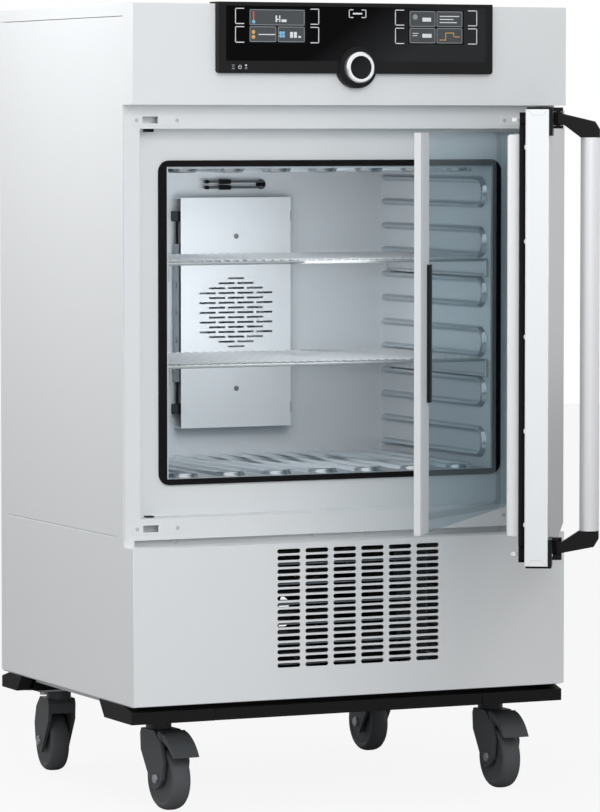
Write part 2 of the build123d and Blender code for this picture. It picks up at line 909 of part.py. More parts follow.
def condenser_fan():
    """The axial fan that draws room air through the condenser."""
    x = grille_centre_x
    y = condenser_fan_y
    z = condenser_fan_z
    fan = rod((x, y - 10, z), (x, y + 10, z), condenser_fan_hub)
    for index in range(condenser_fan_blades):
        blade = Rot(0, 0, index * 360 / condenser_fan_blades)
        blade *= Pos(condenser_fan_radius / 2 + 8, 0, 0) * Rot(condenser_blade_pitch, 0, 0)
        blade *= Box(condenser_fan_radius - 18, condenser_blade_chord, condenser_blade_thickness)
        fan += Plane(origin=(x, y, z), x_dir=(1, 0, 0), z_dir=(0, -1, 0)) * blade
    return fan + rod((x, y, z), (x, y + 50, z), fan_shaft_radius)


def base_tray():
    """The light floor tray that the walls stand on, with its two side rails."""
    low = housing_bottom - tray_thickness
    half = half_width - tray_inset
    body = block(-half, half, trim_front + tray_inset, cabinet_depth - tray_inset, low, housing_bottom)
    for side in (-1, 1):
        x0 = side * (half_width - rail_inset_outer)
        x1 = side * (half_width - rail_inset_inner)
        body += block(
            min(x0, x1), max(x0, x1),
            castor_front_y + carrier_width / 2, castor_rear_y - carrier_width / 2,
            low - rail_height, low,
        )
    return body


def castor_carriers():
    """The two black cross channels that carry the castors."""
    carriers = []
    low = castor_top
    high = housing_bottom - tray_thickness
    half = half_width - trim_wall - 1
    for centre in (castor_front_y, castor_rear_y):
        y0 = centre - carrier_width / 2
        y1 = centre + carrier_width / 2
        channel = block(-half, half, y0, y1, low, high)
        hollow = block(
            -half - 1, half + 1,
            y0 + carrier_wall, y1 - carrier_wall,
            low + carrier_wall, high + 1,
        )
        carriers.append(channel - hollow)
    return group(carriers)


def trim_corner(side, end, reach):
    """One black corner block: a side leg with a slanted end and, at the front, a leg across."""
    outer = half_width
    low = base_bottom
    high = housing_bottom - tray_thickness
    front = trim_front if end < 0 else cabinet_depth
    inward = -end
    profile = Polyline(
        (front, low),
        (front, low + trim_height),
        (front + inward * (return_depth - trim_front), high),
        (front + inward * (reach - trim_front), high),
        (front + inward * (reach - trim_front - trim_slope), low),
        close=True,
    )
    side_face = Plane(origin=(outer, 0, 0), x_dir=(0, 1, 0), z_dir=(1, 0, 0)) * make_face(profile)
    corner = extrude(side_face, amount=-trim_wall)
    if end < 0:
        corner += block(outer - trim_corner_width, outer, front, front + trim_wall, low, low + trim_height)
    return corner if side > 0 else mirror(corner, about=Plane.YZ)


def base_trim():
    """The black plinth: four corner blocks and the middle strip of the front."""
    pieces = []
    for side in (-1, 1):
        pieces.append(trim_corner(side, -1, trim_side_front))
        pieces.append(trim_corner(side, 1, trim_side_rear))
    half = half_width - trim_corner_width - fit_gap
    trim_back = trim_front + trim_wall
    pieces.append(block(-half, half, trim_front + 0.5, trim_back, base_bottom, base_bottom + trim_height))
    return group(pieces)


def castor_place(name):
    """Where one castor's swivel axis stands, and which way its wheel trails."""
    x = -castor_x if "left" in name else castor_x
    y = castor_front_y if "front" in name else castor_rear_y
    return Pos(x, y, 0) * Rot(0, 0, castor_angles[name])


def castor_plates():
    """The mounting plates with their bolts and swivel pins."""
    plates = []
    low = castor_top - plate_thickness
    for name in castor_angles:
        x = -castor_x if "left" in name else castor_x
        y = castor_front_y if "front" in name else castor_rear_y
        body = block(
            x - plate_width / 2, x + plate_width / 2,
            y - plate_length / 2, y + plate_length / 2,
            low, castor_top,
        )
        for sx in (-1, 1):
            for sy in (-1, 1):
                bx = x + sx * (plate_width / 2 - bolt_inset)
                by = y + sy * (plate_length / 2 - bolt_inset)
                body += rod((bx, by, low - bolt_height), (bx, by, low), bolt_radius)
        body += rod((x, y, fork_top - 12), (x, y, low), swivel_pin_radius)
        plates.append(body)
    return group(plates)


def castor_fork():
    """A castor fork drawn with its trail along +Y: a hood over the wheel and two pointed side plates."""
    axle_y = castor_trail
    outline = Polyline(
        (fork_nose[0], fork_top - 8),
        (fork_nose[1], fork_top),
        (fork_shoulder, fork_top),
        *fork_points,
        fork_heel,
        close=True,
    )
    side = Plane(origin=(fork_width / 2, 0, 0), x_dir=(0, 1, 0), z_dir=(1, 0, 0)) * make_face(outline)
    body = extrude(side, amount=-fork_width)
    wheel_room = wheel_radius + fork_clearance
    room_half = fork_slot_width / 2
    hollow = rod((-room_half, axle_y, wheel_radius), (room_half, axle_y, wheel_radius), wheel_room)
    hollow += block(-room_half, room_half, -wheel_room, 2 * wheel_room, 0, wheel_radius)
    hollow += block(-room_half, room_half, -wheel_room, axle_y - 12, 0, fork_top - 24)
    body -= hollow
    neck_low = fork_top - 1
    neck_high = castor_top - plate_thickness - fit_gap
    body += rod((0, 0, neck_low), (0, 0, neck_high), swivel_radius)
    body -= rod((0, 0, neck_low - 30), (0, 0, neck_high + 1), swivel_pin_radius + running_clearance)
    axle_half = fork_width / 2 + 1
    axle = rod((-axle_half, axle_y, wheel_radius), (axle_half, axle_y, wheel_radius), hub_bore_radius)
    return body + axle


def pedal_ears():
    """The two ears and the pin on a braked fork that carry the pedal."""
    ears = Part()
    centre = (pedal_pivot_y, pedal_pivot_z)
    for side in (-1, 1):
        inner = side * (pedal_barrel_half + fit_gap)
        outer = side * pedal_width / 2
        ears += rod((inner, *centre), (outer, *centre), pedal_barrel_radius + 0.5)
        ears += block(
            min(inner, outer), max(inner, outer),
            pedal_pivot_y - pedal_barrel_radius, pedal_pivot_y + pedal_barrel_radius - 1,
            fork_top - 22, pedal_pivot_z,
        )
    return ears


def braked_fork(fork):
    """A castor fork with ears, a pin and a hollow for the pedal's barrel."""
    centre = (pedal_pivot_y, pedal_pivot_z)
    half = pedal_barrel_half + fit_gap
    room = rod((-half, *centre), (half, *centre), pedal_barrel_radius + 0.5)
    pin = rod((-pedal_width / 2, *centre), (pedal_width / 2, *centre), pivot_pin_radius)
    return fork + pedal_ears() - room + pin


def castor_wheel():
    """A castor wheel at its trail position: a rubber tyre with bevelled shoulders, on a dished hub."""
    half = tread_width / 2
    centre = (castor_trail, wheel_radius)
    tyre = rod((-half, *centre), (half, *centre), wheel_radius)
    tyre = chamfer(tyre.edges().filter_by(GeomType.CIRCLE), tyre_shoulder)
    tyre -= rod((-half - 1, *centre), (half + 1, *centre), hub_radius)
    hub_half = half - 2
    hub = rod((-hub_half, *centre), (hub_half, *centre), hub_radius)
    for side in (-1, 1):
        floor = side * (hub_half - hub_recess)
        out = side * (hub_half + 1)
        dish = rod((floor, *centre), (out, *centre), hub_radius - hub_recess)
        boss = rod((floor - side, *centre), (out, *centre), hub_boss_radius)
        hub -= dish - boss
    hub -= rod((-half - 1, *centre), (half + 1, *centre), hub_bore_radius + running_clearance)
    return group([tyre, hub])


def brake_pedal():
    """The foot pedal of a braked castor: a barrel on the fork's pin and a curved tread plate."""
    tread_start = pedal_pivot_y + pedal_barrel_radius + 2
    upper = Spline((tread_start, fork_top - 1), (pedal_pivot_y + 28, fork_top - 10), pedal_tip)
    lower = Spline(
        (pedal_tip[0] - pedal_thickness, pedal_tip[1]),
        (pedal_pivot_y + 24, fork_top - 19),
        (tread_start, fork_top - 13),
    )
    tip = Line(upper @ 1, lower @ 0)
    back = Line(lower @ 1, upper @ 0)
    outline = make_face([upper, tip, lower, back])
    sideways = Plane(origin=(pedal_width / 2, 0, 0), x_dir=(0, 1, 0), z_dir=(1, 0, 0))
    tread = extrude(sideways * outline, amount=-pedal_width)
    centre = (pedal_pivot_y, pedal_pivot_z)
    barrel = rod((-pedal_barrel_half, *centre), (pedal_barrel_half, *centre), pedal_barrel_radius)
    barrel += block(
        -pedal_barrel_half, pedal_barrel_half,
        pedal_pivot_y, tread_start + 1, fork_top - 12, fork_top - 2,
    )
    bore = rod((-pedal_width, *centre), (pedal_width, *centre), pivot_pin_radius + running_clearance)
    return tread + barrel - bore


def castors():
    """The four castors: forks, wheels and, at the front, brake pedals."""
    fork = castor_fork()
    wheel = castor_wheel()
    pedal = brake_pedal()
    for name in castor_angles:
        place = castor_place(name)
        braked = "front" in name
        save(place * (braked_fork(fork) if braked else fork), f"castor_fork_{name}")
        save(group([place * solid for solid in wheel.solids()]), f"castor_wheel_{name}")
        if braked:
            save(place * pedal, f"brake_pedal_{name}")


def turn(x, y, angle):
    """Turns a door from closed to where it stands, about its upright hinge line."""
    return Pos(x, y, 0) * Rot(0, 0, angle) * Pos(-x, -y, 0)


def latch_slots(front, back):
    """The openings that let the two latch tongues swing through the door, between two depths."""
    cuts = Part()
    half = tongue_width / 2 + latch_slot_side
    for z in (tongue_top_low, tongue_bottom_low):
        cuts += block(
            handle_axis_x - half, handle_axis_x + half,
            front, back,
            z - latch_slot_gap, z + tongue_thickness + latch_slot_gap,
        )
    return cuts


def door_skin():
    """The outer door pan: face, folded edges and latch slots."""
    outer = block(door_left, door_right, door_front, door_back - sheet, door_bottom, door_top)
    outer = fillet(outer.edges().filter_by(Axis.Z).group_by(Axis.Y)[0], 1.2)
    hollow = block(
        door_left + sheet, door_right - sheet,
        door_front + sheet, door_back,
        door_bottom + sheet, door_top - sheet,
    )
    bores = Part()
    for low, high in ((door_bottom - 1, door_bottom + 16), (door_top - 16, door_top + 1)):
        bores += upright(door_hinge_x, door_hinge_y, low, high, hinge_pin_radius + running_clearance)
    return outer - hollow - bores - latch_slots(door_front - 1, door_back + 1)


def door_casing():
    """The inner door pan with its raised plug that enters the recess."""
    rim = block(door_left, door_right, door_back - sheet, door_back, door_bottom, door_top)
    plug = block(plug_left, plug_right, door_back - sheet, door_back + plug_depth, plug_bottom, plug_top)
    plug = fillet(plug.edges().group_by(Axis.Y)[-1], 4)
    hollow = block(
        plug_left + sheet, plug_right - sheet,
        door_back - 2 * sheet, door_back + plug_depth - sheet,
        plug_bottom + sheet, plug_top - sheet,
    )
    return rim + plug - hollow - latch_slots(door_front - 1, door_back + plug_depth + 1)


def door_insulation():
    """The insulation slab between the door pans."""
    slab = block(
        door_left + 40, door_right - 40,
        door_front + sheet + fit_gap, door_back - sheet - fit_gap,
        plug_bottom + 5, plug_top - 5,
    )
    plug = block(
        plug_left + sheet + fit_gap, plug_right - sheet - fit_gap,
        door_back - sheet - fit_gap, door_back + plug_depth - sheet - fit_gap,
        plug_bottom + 5, plug_top - 5,
    )
    return slab + plug


def door_gasket():
    """The soft seal round the inner face of the door."""
    middle = Pos(0, (door_gasket_low + door_gasket_high) / 2)
    width = 2 * (recess_half_width + door_gasket_width + 2)
    height = door_gasket_high - door_gasket_low
    outer = middle * Rectangle(width, height)
    inner = middle * Rectangle(width - 2 * door_gasket_width, height - 2 * door_gasket_width)
    return plate(outer - inner, door_back, door_gasket_height)


def corner_caps():
    """The black angles over the door's two free corners, which carry the handle's ears."""
    caps = Part()
    x0 = door_left
    x1 = door_left + corner_plate_width
    y0 = door_front - corner_plate_thickness
    y1 = door_back - sheet
    for edge, way in ((door_top, 1), (door_bottom, -1)):
        tip = edge + way * corner_flange_thickness
        end = edge - way * corner_plate_height
        caps += block(x0, x1, y0, door_front, min(tip, end), max(tip, end))
        caps += block(x0, x1, y0, y1, min(edge, tip), max(edge, tip))
    half = tongue_width / 2 + latch_slot_side
    for low in (hub_top_low, hub_bottom_low):
        caps -= block(
            handle_axis_x - half, handle_axis_x + half, y0 - 1, door_front,
            low - fit_gap, low + hub_length + fit_gap,
        )
    return caps


def door_brackets():
    """The corner caps, each with two ears and a pin on which the handle's hub turns."""
    axis_y = door_front - handle_axis_offset
    swing = math.radians(handle_swing)
    tongue_corner = hub_post_radius * math.cos(swing) - tongue_width / 2 * math.sin(swing)
    pieces = corner_caps()
    for low, ears in ((hub_top_low, top_ears), (hub_bottom_low, bottom_ears)):
        for ear_low, ear_high in ((ears[0], low - fit_gap), (low + hub_length + fit_gap, ears[1])):
            pieces += upright(handle_axis_x, axis_y, ear_low, ear_high, hub_post_radius)
            pieces += block(
                handle_axis_x - hub_post_radius, handle_axis_x + hub_post_radius,
                axis_y, door_front - corner_plate_thickness, ear_low, ear_high,
            )
        pieces += upright(handle_axis_x, axis_y, ears[0], ears[1], pivot_pin_radius)
    return pieces - latch_slots(axis_y + tongue_corner - fit_gap, door_front)


def handle_arms():
    """The two black arms from the pivots out to the ends of the grip tube."""
    pieces = []
    axis_y = door_front - handle_axis_offset
    tube_y = door_front - handle_reach
    radius = handle_tube_radius
    for low, tube_end, way in ((hub_top_low, handle_tube_high, 1), (hub_bottom_low, handle_tube_low, -1)):
        high = low + hub_length
        near, far = (low, high) if way > 0 else (high, low)
        hub = rod((handle_axis_x, axis_y, low), (handle_axis_x, axis_y, high), hub_post_radius)
        outline = Polyline(
            (axis_y, near + way),
            (axis_y, far - way),
            (tube_y - radius / 2, tube_end + way * arm_end_rise),
            (tube_y - radius, tube_end + way * arm_corner_rise),
            (tube_y - radius, tube_end),
            (tube_y + radius, tube_end),
            (axis_y - hub_post_radius - 1, near + way),
            close=True,
        )
        side = Plane(origin=(handle_axis_x, 0, 0), x_dir=(0, 1, 0), z_dir=(1, 0, 0)) * make_face(outline)
        arm = extrude(side, amount=handle_arm_width / 2, both=True)
        bore = rod(
            (handle_axis_x, axis_y, low - 1), (handle_axis_x, axis_y, high + 1),
            pivot_pin_radius + running_clearance,
        )
        pieces.append(hub + arm - bore)
    return group(pieces)


def handle_tube():
    """The brushed grip tube."""
    tube_y = door_front - handle_reach
    return upright(handle_axis_x, tube_y, handle_tube_low, handle_tube_high, handle_tube_radius)


def latch_tongues():
    """The two flat tongues that reach through the door, each notched to hook behind the strike plate."""
    pieces = []
    axis_y = door_front - handle_axis_offset
    tip = door_back + tongue_reach
    for low in (tongue_top_low, tongue_bottom_low):
        tongue = block(
            handle_axis_x - tongue_width / 2, handle_axis_x + tongue_width / 2,
            axis_y + hub_post_radius, tip, low, low + tongue_thickness,
        )
        notch = block(
            handle_axis_x - tongue_width, handle_axis_x + tongue_width / 2 - tongue_neck,
            tip - tongue_hook - tongue_notch, tip - tongue_hook,
            low - 1, low + tongue_thickness + 1,
        )
        pieces.append(tongue - notch)
    return group(pieces)


def latch_windows():
    """The two openings in the door frame that the closed door's tongues enter."""
    cuts = Part()
    x0 = handle_axis_x - plate_slot_width / 2
    for low in (tongue_top_low, tongue_bottom_low):
        middle = low + tongue_thickness / 2
        cuts += block(
            x0, x0 + plate_slot_width,
            frame_plane - 2 * strike_thickness, frame_plane + 2 * sheet,
            middle - latch_window_height / 2, middle + latch_window_height / 2,
        )
    return cuts


def latch_pockets():
    """The closed pockets behind the windows, in which the tongues rest when the door is shut."""
    pockets = Part()
    half = tongue_width / 2 + latch_slot_side + latch_slot_gap
    x0 = handle_axis_x - half
    x1 = handle_axis_x + half
    y0 = frame_plane + sheet
    y1 = frame_plane + pocket_depth
    for low in (tongue_top_low, tongue_bottom_low):
        middle = low + tongue_thickness / 2
        z0 = middle - latch_window_height / 2
        z1 = middle + latch_window_height / 2
        shell = block(x0 - sheet, x1 + sheet, y0, y1, z0 - sheet, z1 + sheet)
        pockets += shell - block(x0, x1, y0 - 1, y1 - sheet, z0, z1)
    return pockets


def strike_plates():
    """Four plates on the door frame, each with a window for a latch tongue."""
    plates = []
    thickness = strike_thickness
    x0 = -half_width + strike_edge
    for low in (strike_top_low, strike_bottom_low):
        body = block(x0, x0 + strike_length, frame_plane - thickness, frame_plane, low, low + strike_height)
        left = body - latch_windows()
        plates.append(left)
        plates.append(mirror(left, about=Plane.YZ))
    return group(plates)


def hinge_brackets():
    """The main door's hinge arms and pins, above and below the door."""
    pieces = []
    lower_z = door_bottom - fit_gap - hinge_arm_thickness
    upper_z = door_top + fit_gap
    half = hinge_arm_width / 2
    for low, pin_low, pin_high in (
        (lower_z, lower_z, door_bottom + 14),
        (upper_z, door_top - 14, upper_z + hinge_arm_thickness),
    ):
        high = low + hinge_arm_thickness
        outer = door_hinge_x + half / 2
        arm = block(door_hinge_x - half, outer, door_hinge_y - 8, frame_plane, low, high)
        foot = block(door_hinge_x - 2 * half, outer, frame_plane - 4, frame_plane, low, high)
        pin = upright(door_hinge_x, door_hinge_y, pin_low, pin_high, hinge_pin_radius)
        pieces.append(arm + foot + pin)
    return group(pieces)


def glass_door_catches():
    """Small black catches at the top and bottom of the recess that hold the glass door."""
    pieces = []
    x1 = catch_left + catch_width
    y1 = catch_front + catch_depth
    pieces.append(block(catch_left, x1, catch_front, y1, glass_top + catch_gap, recess_top))
    pieces.append(block(catch_left, x1, catch_front, y1, recess_bottom, glass_bottom - catch_gap))
    for low, high in ((recess_bottom, glass_bottom + 8), (glass_top - 8, recess_top)):
        pieces.append(upright(glass_hinge_x, glass_hinge_y, low, high, pivot_pin_radius))
    return group(pieces)


def glass_pane():
    """The toughened inner pane, cut back for its hinge clamps and the edge profile."""
    y0 = glass_hinge_y + 2
    edge = glass_hinge_x - glass_hinge_inset
    return block(glass_left + 4, edge, y0, y0 + glass_thickness, glass_bottom, glass_top)


def glass_edge_profile():
    """The light grey profile that wraps the free edge of the pane."""
    y0 = glass_hinge_y + 2
    back = y0 + glass_thickness + fit_gap
    front = back - profile_depth
    body = block(glass_left, glass_left + profile_width, front, back, glass_bottom, glass_top)
    groove = block(
        glass_left + 4, glass_left + profile_width + 1,
        y0, y0 + glass_thickness,
        glass_bottom - 1, glass_top + 1,
    )
    line = block(glass_left + 7, glass_left + 9, front - 1, front + 1, glass_bottom - 1, glass_top + 1)
    seat = block(
        glass_left + profile_width - grip_width, glass_left + profile_width + 1,
        front - 1, front + 1.5, grip_bottom, grip_bottom + grip_length,
    )
    return body - groove - line - seat


def glass_grip():
    """The black finger strip let into the edge profile."""
    back = glass_hinge_y + 2 + glass_thickness + fit_gap
    front = back - profile_depth
    strip = block(
        glass_left + profile_width - grip_width, glass_left + profile_width,
        front - 5, front + 1.5, grip_bottom, grip_bottom + grip_length,
    )
    return fillet(strip.edges().group_by(Axis.Y)[0].filter_by(Axis.Z), 2)


def glass_hinges():
    """The clamps on the pane's hinged edge, each with a bore for its pivot pin."""
    pieces = []
    y0 = glass_hinge_y + 2
    for low in (glass_bottom + clamp_inset, glass_top - clamp_height - clamp_inset):
        body = block(
            glass_hinge_x - clamp_length, glass_hinge_x + 6,
            glass_hinge_y - 6, y0 + glass_thickness,
            low, low + clamp_height,
        )
        body -= block(
            glass_hinge_x - clamp_length - 1, glass_hinge_x - glass_hinge_inset + fit_gap,
            y0 - fit_gap, y0 + glass_thickness + 1, low - 1, low + clamp_height + 1,
        )
        top = low + clamp_height
        bore_radius = pivot_pin_radius + running_clearance
        body -= upright(glass_hinge_x, glass_hinge_y, low - 1, top + 1, bore_radius)
        pieces.append(body)
    return group(pieces)


def shelf(loop_number):
    """A wire shelf: level side rails on the wall beads, raised cross wires and a grid on top."""
    loop_z = chamber_middle + (loop_number - (wall_loop_count - 1) / 2) * 2 * bead_spacing
    bead_z = loop_z + bead_spacing / 2
    r = shelf_rail_radius
    rail_inset = 1 + r
    rail_x = chamber_half - rail_inset
    flank = math.radians(bead_flank_angle)
    rail_z = bead_z + bead_width / 2 + (r + fit_gap - rail_inset * math.sin(flank)) / math.cos(flank)
    grid_x = rail_x - bead_height - shelf_side_gap
    front = recess_plane + shelf_front_gap
    rear = cover_face - shelf_rear_gap
    top_z = rail_z + shelf_rise
    frame = Part()
    for side in (-1, 1):
        x = side * rail_x
        frame += rod((x, front, rail_z), (x, rear, rail_z), r)
        frame += rod((x, front, rail_z), (x, front, top_z), r)
        frame += rod((x, rear, rail_z), (side * grid_x, rear, rail_z), r)
        frame += rod((side * grid_x, rear, rail_z), (side * grid_x, rear, top_z), r)
        frame += Pos(side * grid_x, rear, rail_z) * Sphere(r)
        for z in (rail_z, top_z):
            frame += Pos(x, front, z) * Sphere(r)
    frame += rod((-rail_x, front, top_z), (rail_x, front, top_z), r)
    for y in ((front + rear) / 2, rear):
        frame += rod((-grid_x - r, y, top_z), (grid_x + r, y, top_z), r)
    wires = int(2 * grid_x // grid_wire_pitch)
    grid_z = top_z + r + grid_wire_radius - 0.3
    for index in range(wires + 1):
        x = (index - wires / 2) * grid_wire_pitch
        frame += rod((x, front, grid_z), (x, rear, grid_z), grid_wire_radius)
    return frame


def main():
    """Builds and writes every sub-part."""
    left_wall = side_panel()
    save(left_wall, "left_side_panel")
    save(mirror(left_wall, about=Plane.YZ), "right_side_panel")
    save(rear_panel(), "rear_panel")
    save(mains_inlet(), "mains_inlet")
    save(top_cover(), "top_cover")
    save(upper_fascia(), "upper_fascia")
    save(lower_front_panel(), "lower_front_panel")
    save(front_frame(), "front_frame")
    save(strike_plates(), "strike_plates")
    save(hinge_brackets(), "hinge_brackets")
    save(glass_door_catches(), "glass_door_catches")
    save(chamber_liner(), "chamber_liner")
    save(chamber_ribs(), "chamber_ribs")
    save(chamber_gasket(), "chamber_gasket")
    save(chamber_insulation(), "chamber_insulation")
    save(fan_cover(), "fan_cover")
    save(evaporator(), "evaporator")
    save(chamber_fittings(), "chamber_fittings")
    save(temperature_probes(), "temperature_probes")
    save(fan_motor(), "fan_motor")
    save(circulation_fan(), "circulation_fan")
    save(control_bezel(), "control_bezel")
    save(control_glass(), "control_glass")
    save(display_screens(), "display_screens")
    save(control_board(), "control_board")
    save(control_ring(), "control_ring")
    save(confirm_button(), "confirm_button")
    save(power_key(0, -button_travel - fit_gap - 1), "power_button")
    save(compressor(), "compressor")
    save(condenser(), "condenser")
    save(condenser_fan_housing(), "condenser_fan_housing")
    save(condenser_fan(), "condenser_fan")
    save(base_tray(), "base_tray")
    save(castor_carriers(), "castor_carriers")
    save(base_trim(), "base_trim")
    save(castor_plates(), "castor_plates")
    castors()
    turned = turn(door_hinge_x, door_hinge_y, door_open_angle)
    save(turned * door_skin(), "door_skin")
    save(turned * door_casing(), "door_casing")
    save(turned * door_insulation(), "door_insulation")
    save(turned * door_gasket(), "door_gasket")
    save(turned * door_brackets(), "door_brackets")
    save(turned * handle_tube(), "handle_tube")
    save(turned * handle_arms(), "handle_arms")
    save(turned * latch_tongues(), "latch_tongues")
    swung = turn(glass_hinge_x, glass_hinge_y, glass_open_angle)
    save(swung * glass_pane(), "glass_pane")
    save(swung * glass_edge_profile(), "glass_edge_profile")
    save(swung * glass_grip(), "glass_grip")
    save(swung * glass_hinges(), "glass_hinges")
    lower_loop, upper_loop = shelf_loops
    save(shelf(lower_loop), "shelf_lower")
    save(shelf(upper_loop), "shelf_upper")


main()
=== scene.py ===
import json
import math

import bmesh
import bpy
from mathutils import Matrix, Vector


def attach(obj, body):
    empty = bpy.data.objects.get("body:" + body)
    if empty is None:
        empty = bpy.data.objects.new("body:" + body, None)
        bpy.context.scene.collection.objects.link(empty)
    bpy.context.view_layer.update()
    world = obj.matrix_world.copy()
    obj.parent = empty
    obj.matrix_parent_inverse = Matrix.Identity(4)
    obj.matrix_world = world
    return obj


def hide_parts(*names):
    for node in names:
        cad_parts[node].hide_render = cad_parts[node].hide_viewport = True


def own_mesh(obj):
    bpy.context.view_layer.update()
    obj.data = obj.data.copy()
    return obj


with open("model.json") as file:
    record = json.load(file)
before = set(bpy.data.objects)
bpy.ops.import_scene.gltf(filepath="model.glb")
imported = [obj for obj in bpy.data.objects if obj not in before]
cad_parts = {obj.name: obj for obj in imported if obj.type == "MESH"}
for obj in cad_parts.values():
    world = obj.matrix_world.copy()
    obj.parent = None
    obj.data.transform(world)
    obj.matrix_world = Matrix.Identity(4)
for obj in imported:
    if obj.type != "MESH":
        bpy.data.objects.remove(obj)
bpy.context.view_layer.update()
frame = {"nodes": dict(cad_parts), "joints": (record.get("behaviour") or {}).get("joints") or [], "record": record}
nodes = frame["nodes"]
joints = {j["name"]: j for j in frame["joints"]}
scene = bpy.context.scene
MM = 0.001

# Camera, in the frame of the part
camera_place = Vector((-3.11236, -6.49524, 1.06201))
camera_heading = (0.42164, 0.90676)
camera_pitch = 3.4882
camera_lens = 205.447

# Light
bright_side = (-0.66, -0.50, 0.56)
dim_sky = (0.16, 0.165, 0.17)
soft_level = 0.60
floor_white = 0.90
key_power = 8.6
top_power = 15.0
side_power = 9.0
chamber_power = 6.0
inner_power = 1.5

# Shared sizes, in millimetres
chamber_half = 280.0
chamber_bottom = 512.5
chamber_top = 992.5
chamber_middle = 752.5
recess_plane = 80.0
chamber_depth = 400.0
bead_width = 12.0
bead_height = 7.0
bead_spacing = 40.0
bead_front_gap = 12.0
bead_rear_gap = 18.0
wall_loops = 6
floor_loops = 7
panel_front = -13.0
door_open = 60.1
door_hinge = (357.5, 15.0)
castor_corners = ("front_left", "front_right", "rear_left", "rear_right")
door_front = -3.0
door_back = 30.5
door_left = -371.5
door_bottom = 426.0
door_top = 1082.4
seal_edge = 350.5
seal_low = 453.3
seal_high = 1059.0
tongue_x = -327.5
tongue_levels = (1067.5, 440.1)
strike_x = (-357.7, -275.7)
strike_levels = (1058.5, 431.8)
strike_height = 16.5
frame_plane = 38.0
strip_plane = 50.0
cover_face = 447.0
cover_screw_rise = 125.0
fork_face = 22.8
door_screw_x = -363.0
door_screw_levels = (1028.0, 893.0, 756.0, 620.0, 485.0)
strip_screws = (-281.0, -46.0, 46.0, 281.0)
strip_screw_level = 418.5
probe_plane = 468.0
probe_level = 962.0
probe_half_pitch = 4.75
floor_half = 9.0


# ---------------------------------------------------------------- materials
def material(name, color, metallic=0.0, rough=0.4, coat=0.0, specular=0.5):
    """A principled material with its even values straight on the sockets."""
    m = bpy.data.materials.new(name)
    m.use_nodes = True
    b = m.node_tree.nodes["Principled BSDF"]
    b.inputs["Base Color"].default_value = (*color, 1)
    b.inputs["Metallic"].default_value = metallic
    b.inputs["Roughness"].default_value = rough
    b.inputs["Specular IOR Level"].default_value = specular
    b.inputs["Coat Weight"].default_value = coat
    return m


def add_bump(m, scale, strength, stretch=(1, 1, 1), detail=3.0):
    """Fine surface relief from a noise laid along the part's axes."""
    t = m.node_tree
    b = t.nodes["Principled BSDF"]
    coord = t.nodes.new("ShaderNodeTexCoord")
    mapping = t.nodes.new("ShaderNodeMapping")
    mapping.inputs["Scale"].default_value = stretch
    noise = t.nodes.new("ShaderNodeTexNoise")
    noise.inputs["Scale"].default_value = scale
    noise.inputs["Detail"].default_value = detail
    bump = t.nodes.new("ShaderNodeBump")
    bump.inputs["Strength"].default_value = strength
    bump.inputs["Distance"].default_value = 0.0004
    t.links.new(coord.outputs["Object"], mapping.inputs["Vector"])
    t.links.new(mapping.outputs["Vector"], noise.inputs["Vector"])
    t.links.new(noise.outputs["Fac"], bump.inputs["Height"])
    t.links.new(bump.outputs["Normal"], b.inputs["Normal"])
    return noise


def add_painted_light_ramp(m, toward, low, high, dark, light, source="Object"):
    """Painted light or shade: a soft change of colour along one direction, by place in metres or by which way a
    face points.
    """
    t = m.node_tree
    b = t.nodes["Principled BSDF"]
    coord = t.nodes.new("ShaderNodeTexCoord")
    along = t.nodes.new("ShaderNodeVectorMath")
    along.operation = "DOT_PRODUCT"
    along.inputs[1].default_value = toward
    span = t.nodes.new("ShaderNodeMapRange")
    span.inputs["From Min"].default_value = low
    span.inputs["From Max"].default_value = high
    ramp = t.nodes.new("ShaderNodeValToRGB")
    ramp.color_ramp.elements[0].color = (*dark, 1)
    ramp.color_ramp.elements[1].color = (*light, 1)
    t.links.new(coord.outputs[source], along.inputs[0])
    t.links.new(along.outputs["Value"], span.inputs["Value"])
    t.links.new(span.outputs["Result"], ramp.inputs["Fac"])
    t.links.new(ramp.outputs["Color"], b.inputs["Base Color"])


painted = material("painted_steel", (0.80, 0.82, 0.835), 0.0, 0.36, specular=0.3)
add_bump(painted, 900.0, 0.05)
door_paint = material("door_white", (0.73, 0.75, 0.765), 0.0, 0.36, specular=0.3)
steel = material("stainless", (0.76, 0.81, 0.85), 0.35, 0.36)
add_bump(steel, 60.0, 0.08, (1, 1, 40))
# Painted shade: the stainless turns darker on faces that point upwards, such as the chamber floor.
add_painted_light_ramp(steel, (0, 0, 1), 0.6, 1.0, (0.76, 0.81, 0.85), (0.38, 0.42, 0.45), "Normal")
cover_steel = material("cover_steel", (0.84, 0.89, 0.93), 0.35, 0.40)
add_bump(cover_steel, 60.0, 0.08, (40, 1, 1))
# Painted shade: the pressed beads get a darker copy of the chamber steel to stand in for the shade on their
# flanks.
bead_steel_painted_shade = material("bead_steel_painted_shade", (0.56, 0.60, 0.63), 0.95, 0.20)
wire = material("bright_wire", (0.68, 0.70, 0.71), 0.8, 0.28)
rubber = material("black_rubber", (0.010, 0.010, 0.011), 0.0, 0.6, specular=0.06)
foam = material("insulation", (0.80, 0.72, 0.45), 0.0, 0.9)
add_bump(foam, 400.0, 0.5)
fins = material("fins", (0.30, 0.34, 0.38), 0.8, 0.45)
black = material("black_plastic", (0.006, 0.006, 0.007), 0.0, 0.45, specular=0.2)
bezel_black = material("bezel_black", (0.016, 0.016, 0.017), 0.0, 0.5, specular=0.1)
gloss = material("gloss_black", (0.004, 0.004, 0.005), 0.0, 0.12, specular=0.04)
